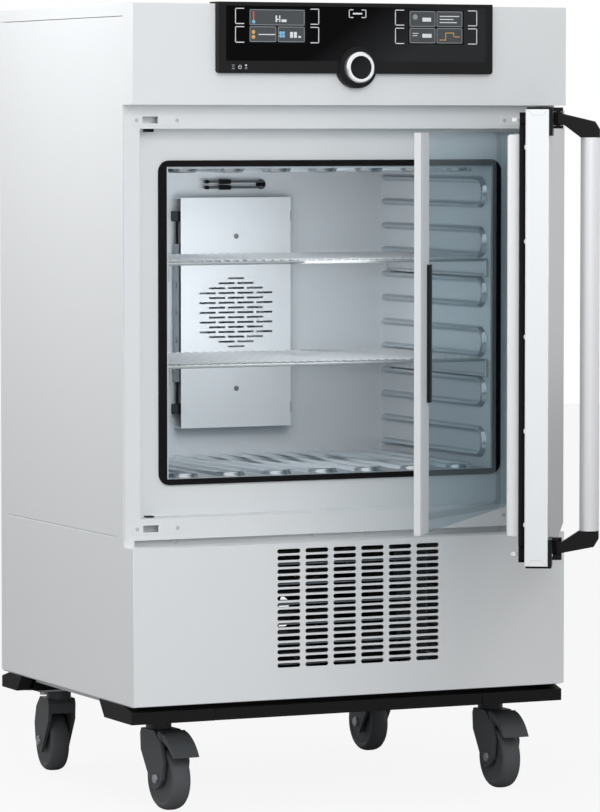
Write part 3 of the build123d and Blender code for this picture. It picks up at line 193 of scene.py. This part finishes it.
# Painted reflection: a lighter diagonal band in the gloss black panel's colour stands in for a reflected softbox
# edge.
add_painted_light_ramp(gloss, (1.0, 0.0, -1.5), -1.83, -1.66, (0.0015, 0.0015, 0.002), (0.028, 0.029, 0.031))
screen = material("screen", (0.006, 0.007, 0.008), 0.0, 0.2, specular=0.05)
board = material("board", (0.02, 0.16, 0.07), 0.0, 0.5)
chrome = material("ring_metal", (0.94, 0.95, 0.97), 0.8, 0.24)
machine = material("machine_black", (0.004, 0.004, 0.005), 0.0, 0.55, specular=0.12)
base_grey = material("base_grey", (0.55, 0.57, 0.59), 0.3, 0.45)
trim = material("trim_black", (0.013, 0.013, 0.014), 0.0, 0.5, specular=0.08)
add_bump(trim, 1400.0, 0.12)
zinc = material("zinc", (0.36, 0.37, 0.39), 0.8, 0.4)
castor = material("castor_grey", (0.062, 0.066, 0.070), 0.0, 0.45, specular=0.25)
add_bump(castor, 1200.0, 0.10)
tyre = material("tyre_grey", (0.092, 0.098, 0.104), 0.0, 0.6, specular=0.2)
hub_black = material("hub_black", (0.012, 0.012, 0.014), 0.0, 0.4, specular=0.2)
profile = material("profile_grey", (0.64, 0.66, 0.68), 0.0, 0.38, specular=0.3)
grip = material("grip_black", (0.008, 0.008, 0.009), 0.0, 0.45, specular=0.2)
brushed = material("handle_metal", (0.80, 0.81, 0.83), 0.6, 0.32)
latch = material("latch_white", (0.80, 0.81, 0.82), 0.0, 0.4, specular=0.3)
print_white = material("print_white", (0.80, 0.82, 0.84), 0.0, 0.5, specular=0.2)
print_grey = material("print_grey", (0.30, 0.32, 0.34), 0.0, 0.5, specular=0.2)
tile_grey = material("tile_grey", (0.075, 0.082, 0.088), 0.0, 0.4, specular=0.2)
sign_red = material("sign_red", (0.62, 0.14, 0.10), 0.0, 0.5, specular=0.2)
sign_blue = material("sign_blue", (0.22, 0.52, 0.74), 0.0, 0.5, specular=0.2)
sign_orange = material("sign_orange", (0.72, 0.42, 0.12), 0.0, 0.5, specular=0.2)
probe_steel = material("probe_steel", (0.20, 0.22, 0.24), 0.85, 0.32)
seam_grey = material("seam_grey", (0.52, 0.54, 0.56), 0.0, 0.5, specular=0.2)


def glass_material():
    """Tinted sheet glass, clear face on and mirror-like at a slant, on its outer faces only."""
    m = bpy.data.materials.new("door_glass")
    m.use_nodes = True
    t = m.node_tree
    t.nodes.clear()
    out = t.nodes.new("ShaderNodeOutputMaterial")
    clear = t.nodes.new("ShaderNodeBsdfTransparent")
    clear.inputs["Color"].default_value = (0.80, 0.86, 0.885, 1)
    shine = t.nodes.new("ShaderNodeBsdfGlossy")
    shine.inputs["Color"].default_value = (0.75, 0.80, 0.83, 1)
    shine.inputs["Roughness"].default_value = 0.03
    slant = t.nodes.new("ShaderNodeFresnel")
    slant.inputs["IOR"].default_value = 1.45
    side = t.nodes.new("ShaderNodeNewGeometry")
    outer = t.nodes.new("ShaderNodeMath")
    outer.operation = "SUBTRACT"
    outer.inputs[0].default_value = 1.0
    share = t.nodes.new("ShaderNodeMath")
    share.operation = "MULTIPLY"
    mix = t.nodes.new("ShaderNodeMixShader")
    t.links.new(side.outputs["Backfacing"], outer.inputs[1])
    t.links.new(slant.outputs["Fac"], share.inputs[0])
    t.links.new(outer.outputs["Value"], share.inputs[1])
    t.links.new(share.outputs["Value"], mix.inputs["Fac"])
    t.links.new(clear.outputs["BSDF"], mix.inputs[1])
    t.links.new(shine.outputs["BSDF"], mix.inputs[2])
    t.links.new(mix.outputs["Shader"], out.inputs["Surface"])
    return m


glass = glass_material()
by_slot = {
    "painted_steel": painted, "door_white": door_paint, "stainless": steel, "bright_wire": wire,
    "black_rubber": rubber, "insulation": foam, "fins": fins, "black_plastic": black,
    "gloss_black": gloss, "screen": screen, "board": board, "ring_metal": chrome,
    "machine_black": machine, "base_grey": base_grey, "trim_black": trim, "zinc": zinc,
    "castor_grey": castor, "tyre_grey": tyre, "door_glass": glass, "profile_grey": profile,
    "grip_black": grip, "handle_metal": brushed, "latch_white": latch,
}
by_node = {
    "fan_cover": cover_steel, "control_bezel": bezel_black, "temperature_probes": probe_steel,
}


# ---------------------------------------------------------------- helpers
def finish_mesh(name, bm, mat, body, smooth=35.0):
    """Turns a bmesh in millimetres into a piece that rides on a body."""
    bmesh.ops.scale(bm, vec=(MM, MM, MM), verts=bm.verts)
    bmesh.ops.recalc_face_normals(bm, faces=bm.faces)
    for f in bm.faces:
        f.smooth = True
    for e in bm.edges:
        if len(e.link_faces) == 2:
            e.smooth = e.calc_face_angle(0.0) < math.radians(smooth)
    me = bpy.data.meshes.new(name)
    bm.to_mesh(me)
    bm.free()
    o = bpy.data.objects.new(name, me)
    scene.collection.objects.link(o)
    me.materials.append(mat)
    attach(o, body)
    return o


def add_box(bm, low, high, turn=None):
    """A box from corner to corner, with an optional placing matrix."""
    size = [b - a for a, b in zip(low, high)]
    centre = [(a + b) / 2 for a, b in zip(low, high)]
    place = Matrix.Translation(centre) @ Matrix.Diagonal((*size, 1))
    if turn is not None:
        place = turn @ place
    return bmesh.ops.create_cube(bm, size=1.0, matrix=place)


def lathe(bm, outline, place, steps=48):
    """Turns (radius, along) points about the local Z axis."""
    rings = []
    for radius, along in outline:
        ring = []
        for k in range(steps):
            a = 2 * math.pi * k / steps
            point = Vector((radius * math.cos(a), radius * math.sin(a), along))
            ring.append(bm.verts.new(place @ point))
        rings.append(ring)
    for low, high in zip(rings, rings[1:]):
        for k in range(steps):
            bm.faces.new((low[k], low[(k + 1) % steps], high[(k + 1) % steps], high[k]))
    if outline[0][0] > 0:
        bm.faces.new(list(reversed(rings[0])))
    if outline[-1][0] > 0:
        bm.faces.new(rings[-1])


def sweep(bm, path, normals, section, closed=False, cap=True):
    """Carries a flat section of (side, up) points along a path that has an up direction at each."""
    count = len(path)
    rings = []
    for i, p in enumerate(path):
        before = path[(i - 1) % count] if (closed or i > 0) else p
        after = path[(i + 1) % count] if (closed or i < count - 1) else p
        along = (after - before).normalized()
        up = normals[i].normalized()
        side = along.cross(up).normalized()
        rings.append([bm.verts.new(p + side * s + up * u) for s, u in section])
    pairs = list(zip(rings, rings[1:])) + ([(rings[-1], rings[0])] if closed else [])
    m = len(section)
    for a, b in pairs:
        for k in range(m):
            bm.faces.new((a[k], a[(k + 1) % m], b[(k + 1) % m], b[k]))
    if cap and not closed:
        bm.faces.new(rings[0])
        bm.faces.new(list(reversed(rings[-1])))


# ---------------------------------------------------------------- CAD nodes
slots = {s["node"]: s["material_slot"] for s in frame["record"]["subparts"]}
soft_edges = {
    "castor_fork_front_left": 1.6, "castor_fork_front_right": 1.6, "castor_fork_rear_left": 1.6,
    "castor_fork_rear_right": 1.6, "brake_pedal_front_left": 1.5, "brake_pedal_front_right": 1.5,
    "base_trim": 1.2, "door_skin": 0.5, "front_frame": 0.5, "upper_fascia": 0.6,
    "lower_front_panel": 0.5, "left_side_panel": 0.4, "right_side_panel": 0.4, "top_cover": 0.6,
    "door_casing": 0.6, "fan_cover": 0.4, "handle_arms": 2.0, "door_brackets": 0.8,
    "glass_edge_profile": 0.5, "glass_grip": 0.8, "latch_tongues": 0.5, "control_bezel": 0.4,
    "strike_plates": 0.3,
}
for name, obj in nodes.items():
    obj.data.materials.clear()
    obj.data.materials.append(by_node.get(name, by_slot[slots[name]]))
    if name in soft_edges:
        weld = obj.modifiers.new("weld", "WELD")
        weld.merge_threshold = 0.00001
        bevel = obj.modifiers.new("bevel", "BEVEL")
        bevel.width = soft_edges[name] * MM
        bevel.segments = 2
        bevel.limit_method = "ANGLE"
        bevel.angle_limit = math.radians(40)
        bevel.harden_normals = False


# ---------------------------------------------------------------- chamber beads
def bead_path(place):
    """The line of one U-shaped bead, placed on its wall, and the wall's inward direction."""
    half = bead_spacing / 2
    turn_x = bead_front_gap + half + bead_width / 2
    end_x = chamber_depth - bead_rear_gap
    flat = [(end_x, -half), (end_x - 2, -half)]
    steps = 18
    flat += [(turn_x + (end_x - turn_x) * (1 - k / 4), -half) for k in range(1, 4)]
    for k in range(steps + 1):
        a = -math.pi / 2 - math.pi * k / steps
        flat.append((turn_x + half * math.cos(a), half * math.sin(a)))
    flat += [(turn_x + (end_x - turn_x) * k / 4, half) for k in range(1, 4)]
    flat += [(end_x - 2, half), (end_x, half)]
    up = place.to_3x3() @ Vector((0, 0, 1))
    return [place @ Vector((x, y, 0)) for x, y in flat], [up] * len(flat)


def bead_section():
    """The rounded section of a bead, from the sheet up to its crest."""
    half = bead_width / 2
    flank = ((0.0, -0.2), (0.9, 1.0), (2.0, 3.6), (3.1, 5.6), (4.4, 6.7))
    points = [(-half + inset, rise) for inset, rise in flank]
    return points + [(0, bead_height)] + [(-s, u) for s, u in reversed(points)]


def wall_place(origin, x_dir, z_dir):
    x, z = Vector(x_dir), Vector(z_dir)
    y = z.cross(x)
    m = Matrix((x, y, z)).transposed().to_4x4()
    return Matrix.Translation(origin) @ m


bm = bmesh.new()
for index in range(wall_loops):
    z = chamber_middle - (wall_loops - 1) * bead_spacing + index * 2 * bead_spacing
    for side in (-1, 1):
        wall = wall_place((side * chamber_half, recess_plane, z), (0, 1, 0), (-side, 0, 0))
        path, ups = bead_path(wall)
        sweep(bm, path, ups, bead_section())
for index in range(floor_loops):
    x = -(floor_loops - 1) * bead_spacing + index * 2 * bead_spacing
    for z, way in ((chamber_bottom, 1), (chamber_top, -1)):
        path, ups = bead_path(wall_place((x, recess_plane, z), (0, 1, 0), (0, 0, way)))
        sweep(bm, path, ups, bead_section())
ribs = finish_mesh("pressed_ribs", bm, bead_steel_painted_shade, "cabinet", 60)
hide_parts("chamber_ribs")


# ---------------------------------------------------------------- castors
def castor_place(corner):
    """The wheel's centre and a placing matrix whose local Z is the axle."""
    j = joints["roll_" + corner]
    centre = Vector(j["pos_m"]) / MM
    axle = Vector(j["axis"]).normalized()
    up = Vector((0, 0, 1))
    fore = up.cross(axle)
    return Matrix.Translation(centre) @ Matrix((fore, up, axle)).transposed().to_4x4()


tyre_half = [
    (37.0, 13.0), (39.0, 14.8), (42.0, 15.8), (44.8, 15.0), (47.2, 12.8), (48.9, 9.4), (49.8, 5.0),
]
tyre_outline = [(r, -a) for r, a in tyre_half] + [(50.0, 0.0)] + list(reversed(tyre_half))
hub_outline = [
    (4.4, -16.0), (10.5, -16.0), (11.5, -15.0), (12.0, -11.0), (16.0, -9.5), (30.0, -9.5),
    (33.0, -11.5), (37.2, -12.2), (37.2, 12.2), (33.0, 11.5), (30.0, 9.5), (16.0, 9.5),
    (12.0, 11.0), (11.5, 15.0), (10.5, 16.0), (4.4, 16.0),
]
for corner in castor_corners:
    place = castor_place(corner)
    bm = bmesh.new()
    lathe(bm, tyre_outline, place, 64)
    tread = finish_mesh("tyre_" + corner, bm, tyre, "wheel_" + corner)
    bm = bmesh.new()
    lathe(bm, hub_outline, place, 48)
    hub = finish_mesh("hub_" + corner, bm, hub_black, "wheel_" + corner)
    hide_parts("castor_wheel_" + corner)
    bm = bmesh.new()
    for way in (-1, 1):
        cap = place @ Matrix.Translation((0, 0, way * fork_face))
        outline = [(8.0, 0.0), (8.0, way * 2.0), (7.2, way * 3.4), (0.01, way * 3.6)]
        lathe(bm, outline, cap, 6 if way > 0 else 24)
    bolt = finish_mesh("axle_bolt_" + corner, bm, zinc, "fork_" + corner)


# ---------------------------------------------------------------- control panel print
def panel_piece(name, rects, y, mat, thick=0.12):
    """Thin flat marks just in front of the panel, from (x0, x1, z0, z1) rectangles."""
    bm = bmesh.new()
    for x0, x1, z0, z1 in rects:
        add_box(bm, (x0, y - thick, z0), (x1, y, z1))
    o = finish_mesh(name, bm, mat, "cabinet")
    return o


def bracket(x0, x1, z0, z1, open_side, w=1.3):
    """The lines of a square bracket open to one side."""
    upright = (x0, x0 + w, z0, z1) if open_side == "right" else (x1 - w, x1, z0, z1)
    return [upright, (x0, x1, z1 - w, z1), (x0, x1, z0, z0 + w)]


def add_disc(bm, x, z, radius, y, thick, steps=20):
    """A thin round mark on the panel."""
    place = Matrix.Translation((x, y, z)) @ Matrix.Rotation(math.radians(90), 4, "X")
    lathe(bm, [(radius, 0.0), (radius, thick), (0.01, thick)], place, steps)


def disc_piece(name, discs, y, mat, thick, body="cabinet"):
    """Thin round marks from (x, z, radius) values."""
    bm = bmesh.new()
    for x, z, radius in discs:
        add_disc(bm, x, z, radius, y, thick)
    return finish_mesh(name, bm, mat, body)


marks = []
for low, high in ((1185.5, 1210.5), (1214.0, 1238.5)):
    marks += bracket(-207.5, -192.4, low, high, "right")
    marks += bracket(-80.3, -65.7, low, high, "left")
    marks += bracket(64.6, 80.3, low, high, "right")
    marks += bracket(191.7, 207.6, low, high, "left")
marks += bracket(-15.0, -7.0, 1225.0, 1238.0, "right")
marks += bracket(7.0, 15.0, 1225.0, 1238.0, "left")
marks += [(-8.0, 8.0, 1230.4, 1232.8)]
keys = panel_piece("key_brackets", marks, panel_front, print_white)


def frame_rects(x0, x1, z0, z1, w):
    return [(x0, x1, z0, z0 + w), (x0, x1, z1 - w, z1), (x0, x0 + w, z0, z1), (x1 - w, x1, z0, z1)]


tiles = (
    (-183.0, -90.5, 1212.5, 1236.5),
    (-183.0, -138.5, 1187.0, 1210.5), (-135.5, -90.5, 1187.0, 1210.5),
    (90.0, 134.5, 1212.5, 1236.5), (136.8, 181.5, 1212.5, 1236.5),
    (90.0, 134.5, 1187.0, 1210.5), (136.8, 181.5, 1187.0, 1210.5),
)
fills = panel_piece("screen_tiles", tiles, panel_front, tile_grey, 0.06)
tile_lines = []
for x0, x1, z0, z1 in tiles:
    tile_lines += frame_rects(x0, x1, z0, z1, 1.0)
frames = panel_piece("tile_frames", tile_lines, panel_front, print_grey)

readings = [
    (-139.5, -137.0, 1217.5, 1227.5), (-137.0, -131.0, 1220.5, 1222.5),
    (-133.5, -131.5, 1217.5, 1227.5), (-129.5, -121.0, 1217.5, 1221.5),
    (-168.0, -140.5, 1197.5, 1199.0), (-115.0, -110.0, 1193.5, 1202.5),
    (-108.5, -103.5, 1193.5, 1202.5), (-101.0, -96.5, 1193.5, 1196.5),
    (112.0, 127.0, 1220.5, 1226.5), (142.0, 176.0, 1228.2, 1229.6),
    (142.0, 166.0, 1223.4, 1224.8), (142.0, 172.0, 1218.6, 1220.0), (112.0, 128.0, 1195.5, 1201.5),
    (95.0, 105.0, 1201.5, 1202.6), (95.0, 103.0, 1198.0, 1199.1),
]
signs = panel_piece("screen_signs", readings, panel_front, print_white, 0.10)
stems = panel_piece("sign_stems", [(-177.6, -175.4, 1219.0, 1233.5)], panel_front, sign_red, 0.12)
cold = [(-176.5, 1217.6, 2.8)]
for k in range(4):
    turned = math.radians(45 + 90 * k)
    cold.append((-128.5 + 3.4 * math.cos(turned), 1198.5 + 3.4 * math.sin(turned), 2.5))
blue = disc_piece("sign_cold", cold, panel_front, sign_blue, 0.13)
heat = [(-176.8, 1202.0, 3.0), (-176.8, 1194.5, 3.0)]
warm = disc_piece("sign_warm", heat, panel_front, sign_orange, 0.13)
bulb = disc_piece("sign_lamp", [(99.5, 1227.5, 4.2)], panel_front, print_grey, 0.12)
curve = panel_piece("sign_curve", [
    (142.0, 152.0, 1191.5, 1192.7), (152.0, 153.2, 1191.5, 1203.5), (152.0, 166.0, 1202.5, 1203.7),
    (166.0, 167.2, 1196.5, 1203.7), (166.0, 177.0, 1196.5, 1197.7),
], panel_front, sign_orange, 0.12)
small_marks = [
    (-213.0, -207.5, 1150.6, 1151.8), (-212.5, -208.0, 1147.8, 1148.8),
    (-213.0, -207.5, 1145.0, 1146.2), (-191.5, -187.0, 1145.2, 1146.4),
    (-191.0, -187.5, 1147.2, 1148.2),
]
small = panel_piece("panel_icons", small_marks, panel_front, print_grey)
lamp = disc_piece("status_lamp", [(-189.2, 1151.0, 1.5)], panel_front, print_white, 0.15)
power_x, power_z, power_face, power_radius = -200.0, 1148.5, -14.2, 2.6
bm = bmesh.new()
arc = []
for k in range(21):
    a = math.radians(120 + 300 * k / 20)
    x, z = power_x + power_radius * math.cos(a), power_z - 0.2 + power_radius * math.sin(a)
    arc.append(Vector((x, power_face - 0.06, z)))
stroke = [(-0.4, -0.06), (0.4, -0.06), (0.4, 0.06), (-0.4, 0.06)]
sweep(bm, arc, [Vector((0, -1, 0))] * len(arc), stroke)
add_box(bm, (power_x - 0.4, power_face - 0.12, power_z), (power_x + 0.4, power_face, power_z + 3.2))
power_sign = finish_mesh("power_sign", bm, print_white, "power_key")


# ---------------------------------------------------------------- main door details
def door_matrix():
    """From the closed door's place, in millimetres, to where it stands at rest."""
    x, y = door_hinge
    return (Matrix.Translation((x, y, 0)) @ Matrix.Rotation(math.radians(door_open), 4, "Z")
            @ Matrix.Translation((-x, -y, 0)))


on_door = door_matrix()
door_normal = (on_door.to_3x3() @ Vector((0, 1, 0))).normalized()


def ring_path(half_width, low, high, corner, y, steps=6):
    """A rounded rectangle in X and Z, as points at depth y."""
    points = []
    for x, z, start in (
        (half_width - corner, high - corner, 0), (corner - half_width, high - corner, 90),
        (corner - half_width, low + corner, 180), (half_width - corner, low + corner, 270),
    ):
        for k in range(steps + 1):
            a = math.radians(start + 90 * k / steps)
            points.append(Vector((x + corner * math.cos(a), y, z + corner * math.sin(a))))
    return points


seal_section = [
    (-4.0, 0.0), (-4.3, 1.6), (-3.2, 3.0), (-4.3, 4.6), (-4.0, 8.2), (-2.0, 9.8),
    (2.0, 9.8), (4.0, 8.2), (4.3, 4.6), (3.2, 3.0), (4.3, 1.6), (4.0, 0.0),
]
bm = bmesh.new()
path = ring_path(seal_edge, seal_low, seal_high, 8.0, door_back)
sweep(bm, [on_door @ p for p in path], [door_normal] * len(path), seal_section, closed=True)
guide_half, guide_tall, guide_rise = 22.5, 10.5, 9.6
for z in tongue_levels:
    for x0, x1, z0, z1 in (
        (-guide_half, -20.0, -guide_tall, guide_tall), (20.0, guide_half, -guide_tall, guide_tall),
        (-guide_half, guide_half, 4.6, guide_tall), (-guide_half, guide_half, -guide_tall, -4.6),
    ):
        low = (tongue_x + x0, door_back, z + z0)
        high = (tongue_x + x1, door_back + guide_rise, z + z1)
        add_box(bm, low, high, on_door)
seal = finish_mesh("door_seal", bm, rubber, "main_door", 40)
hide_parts("door_gasket")
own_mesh(seal)

bm = bmesh.new()
for z in door_screw_levels:
    spot = on_door @ Matrix.Translation((door_screw_x, door_back, z))
    spot = spot @ Matrix.Rotation(math.radians(-90), 4, "X")
    lathe(bm, [(3.6, 0.0), (3.4, 1.0), (2.2, 1.9), (0.01, 2.1)], spot, 20)
dots = finish_mesh("door_screws", bm, latch, "main_door", 50)

bm = bmesh.new()
for edge, way in ((door_top, -1), (door_bottom, 1)):
    corners = [
        (door_front + 2.0, 1.0), (door_front + 9.0, 8.5),
        (door_back - 10.5, 8.5), (door_back - 3.5, 1.0),
    ]
    path = [Vector((door_left - 0.05, y, edge + way * drop)) for y, drop in corners]
    side = on_door.to_3x3() @ Vector((-1, 0, 0))
    line = [(-0.3, 0), (0.3, 0), (0.3, 0.12), (-0.3, 0.12)]
    sweep(bm, [on_door @ p for p in path], [side] * len(path), line)
tabs = finish_mesh("door_edge_tabs", bm, seam_grey, "main_door")


# ---------------------------------------------------------------- frame details
bm = bmesh.new()
for low in strike_levels:
    for way in (-1, 1):
        for x in (strike_x[0] + 7.5, strike_x[1] - 7.0):
            across = -way * x if way > 0 else x
            spot = Matrix.Translation((across, frame_plane - 1.2, low + strike_height / 2))
            spot = spot @ Matrix.Rotation(math.radians(90), 4, "X")
            lathe(bm, [(3.2, -0.2), (3.2, 0.0), (3.0, 0.10), (1.6, 0.12), (0.01, 0.05)], spot, 20)
strikes = finish_mesh("strike_screws", bm, seam_grey, "cabinet", 50)

bm = bmesh.new()
for x in strip_screws:
    spot = Matrix.Translation((x, strip_plane, strip_screw_level))
    spot = spot @ Matrix.Rotation(math.radians(90), 4, "X")
    lathe(bm, [(3.4, 0.0), (3.2, 1.2), (2.0, 2.0), (0.01, 2.2)], spot, 20)
gap_screws = finish_mesh("gap_screws", bm, latch, "cabinet", 50)

bm = bmesh.new()
for way in (-1, 1):
    z = probe_level + way * probe_half_pitch
    for x0, x1, radius in ((-22.0, 0.0, 4.0), (-47.0, -39.0, 3.0)):
        length = x1 - x0
        spot = Matrix.Translation((x0, probe_plane, z)) @ Matrix.Rotation(math.radians(90), 4, "Y")
        outline = [
            (0.01, 0.0), (radius * 0.7, 0.0), (radius, 1.5),
            (radius, length - 1.5), (radius * 0.7, length), (0.01, length),
        ]
        lathe(bm, outline, spot, 20)
sleeves = finish_mesh("probe_sleeves", bm, black, "cabinet", 50)

bm = bmesh.new()
for z in (chamber_middle - cover_screw_rise, chamber_middle + cover_screw_rise):
    spot = Matrix.Translation((0.0, cover_face, z)) @ Matrix.Rotation(math.radians(90), 4, "X")
    lathe(bm, [(4.3, -0.2), (4.3, 1.5), (3.5, 1.9), (2.4, 1.9), (2.0, 1.4), (0.01, 1.4)], spot, 20)
cover_screws = finish_mesh("cover_screws", bm, zinc, "cabinet", 50)


# ---------------------------------------------------------------- camera, light, backdrop
cam_data = bpy.data.cameras.new("camera")
cam_data.sensor_width = 36.0
cam_data.lens = camera_lens
cam_data.clip_start = 0.5
cam_data.clip_end = 60.0
cam = bpy.data.objects.new("camera", cam_data)
scene.collection.objects.link(cam)
scene.camera = cam
pitch = math.radians(camera_pitch)
flat = Vector((*camera_heading, 0)).normalized()
look = flat * math.cos(pitch) + Vector((0, 0, -math.sin(pitch)))
cam.location = camera_place
cam.rotation_euler = look.to_track_quat("-Z", "Y").to_euler()

world = bpy.data.worlds.new("world")
scene.world = world
world.use_nodes = True
wt = world.node_tree
wt.nodes.clear()
w_out = wt.nodes.new("ShaderNodeOutputWorld")
seen = wt.nodes.new("ShaderNodeBackground")
seen.inputs["Color"].default_value = (1, 1, 1, 1)
seen.inputs["Strength"].default_value = 1.0
soft = wt.nodes.new("ShaderNodeBackground")
soft.inputs["Strength"].default_value = soft_level
coord = wt.nodes.new("ShaderNodeTexCoord")
toward = wt.nodes.new("ShaderNodeVectorMath")
toward.operation = "DOT_PRODUCT"
toward.inputs[1].default_value = bright_side
ramp = wt.nodes.new("ShaderNodeValToRGB")
ramp.color_ramp.elements[0].position = 0.0
ramp.color_ramp.elements[0].color = (*dim_sky, 1)
ramp.color_ramp.elements[1].position = 1.0
ramp.color_ramp.elements[1].color = (1.0, 1.0, 1.0, 1)
share = wt.nodes.new("ShaderNodeMapRange")
share.inputs["From Min"].default_value = -1.0
share.inputs["From Max"].default_value = 1.0
wt.links.new(coord.outputs["Generated"], toward.inputs[0])
wt.links.new(toward.outputs["Value"], share.inputs["Value"])
wt.links.new(share.outputs["Result"], ramp.inputs["Fac"])
wt.links.new(ramp.outputs["Color"], soft.inputs["Color"])
paths = wt.nodes.new("ShaderNodeLightPath")
either = wt.nodes.new("ShaderNodeMath")
either.operation = "MAXIMUM"
every = wt.nodes.new("ShaderNodeMath")
every.operation = "MAXIMUM"
mix = wt.nodes.new("ShaderNodeMixShader")
wt.links.new(paths.outputs["Is Camera Ray"], either.inputs[0])
wt.links.new(paths.outputs["Is Glossy Ray"], either.inputs[1])
wt.links.new(either.outputs["Value"], every.inputs[0])
wt.links.new(paths.outputs["Is Transmission Ray"], every.inputs[1])
wt.links.new(every.outputs["Value"], mix.inputs["Fac"])
wt.links.new(soft.outputs["Background"], mix.inputs[1])
wt.links.new(seen.outputs["Background"], mix.inputs[2])
wt.links.new(mix.outputs["Shader"], w_out.inputs["Surface"])


def floor_material():
    """A pale floor that the camera sees as nearly white, with the shadow still on it."""
    m = bpy.data.materials.new("floor")
    m.use_nodes = True
    t = m.node_tree
    t.nodes.clear()
    out = t.nodes.new("ShaderNodeOutputMaterial")
    dull = t.nodes.new("ShaderNodeBsdfDiffuse")
    dull.inputs["Color"].default_value = (0.62, 0.62, 0.62, 1)
    white = t.nodes.new("ShaderNodeEmission")
    white.inputs["Color"].default_value = (1, 1, 1, 1)
    white.inputs["Strength"].default_value = 1.0
    path = t.nodes.new("ShaderNodeLightPath")
    part = t.nodes.new("ShaderNodeMath")
    part.operation = "MULTIPLY"
    part.inputs[1].default_value = floor_white
    blend = t.nodes.new("ShaderNodeMixShader")
    t.links.new(path.outputs["Is Camera Ray"], part.inputs[0])
    t.links.new(part.outputs["Value"], blend.inputs["Fac"])
    t.links.new(dull.outputs["BSDF"], blend.inputs[1])
    t.links.new(white.outputs["Emission"], blend.inputs[2])
    t.links.new(blend.outputs["Shader"], out.inputs["Surface"])
    return m


floor_mesh = bpy.data.meshes.new("floor")
floor_ways = ((-1, -1), (1, -1), (1, 1), (-1, 1))
floor_corners = [(x * floor_half, y * floor_half, 0) for x, y in floor_ways]
floor_mesh.from_pydata(floor_corners, [], [(0, 1, 2, 3)])
floor = bpy.data.objects.new("floor", floor_mesh)
scene.collection.objects.link(floor)
floor_mesh.materials.append(floor_material())


def area_light(name, place, target, size, power, shown):
    """A soft rectangular lamp at one place, facing another."""
    data = bpy.data.lights.new(name, "AREA")
    data.shape = "RECTANGLE"
    data.size, data.size_y = size
    data.energy = power
    o = bpy.data.objects.new(name, data)
    scene.collection.objects.link(o)
    o.location = place
    o.rotation_euler = (Vector(target) - Vector(place)).to_track_quat("-Z", "Y").to_euler()
    o.visible_camera = False
    o.visible_glossy = shown


lamps = (
    # name, place, target, size, power, whether metal shows it
    ("key", (-1.6, -4.2, 2.6), (0, 0.1, 0.9), (2.4, 2.4), key_power, True),
    ("top_front", (-0.5, -1.9, 1.55), (-0.1, 0.1, 1.0), (1.2, 0.8), top_power, False),
    ("side_top", (-1.1, 0.25, 1.8), (-0.37, 0.25, 1.1), (0.6, 0.8), side_power, False),
    ("chamber_fill", (-0.75, -2.3, 0.85), (0.0, 0.4, 0.76), (0.8, 0.8), chamber_power, False),
    ("chamber_lamp", (-0.10, 0.09, 0.83), (-0.04, 0.48, 0.73), (0.34, 0.24), inner_power, False),
)
for lamp_values in lamps:
    area_light(*lamp_values)

scene.view_settings.view_transform = "Standard"
scene.view_settings.look = "None"
scene.view_settings.exposure = 0.0
scene.view_settings.gamma = 1.0
scene.cycles.max_bounces = 10
scene.cycles.transparent_max_bounces = 12
scene.cycles.caustics_reflective = False
scene.cycles.caustics_refractive = False
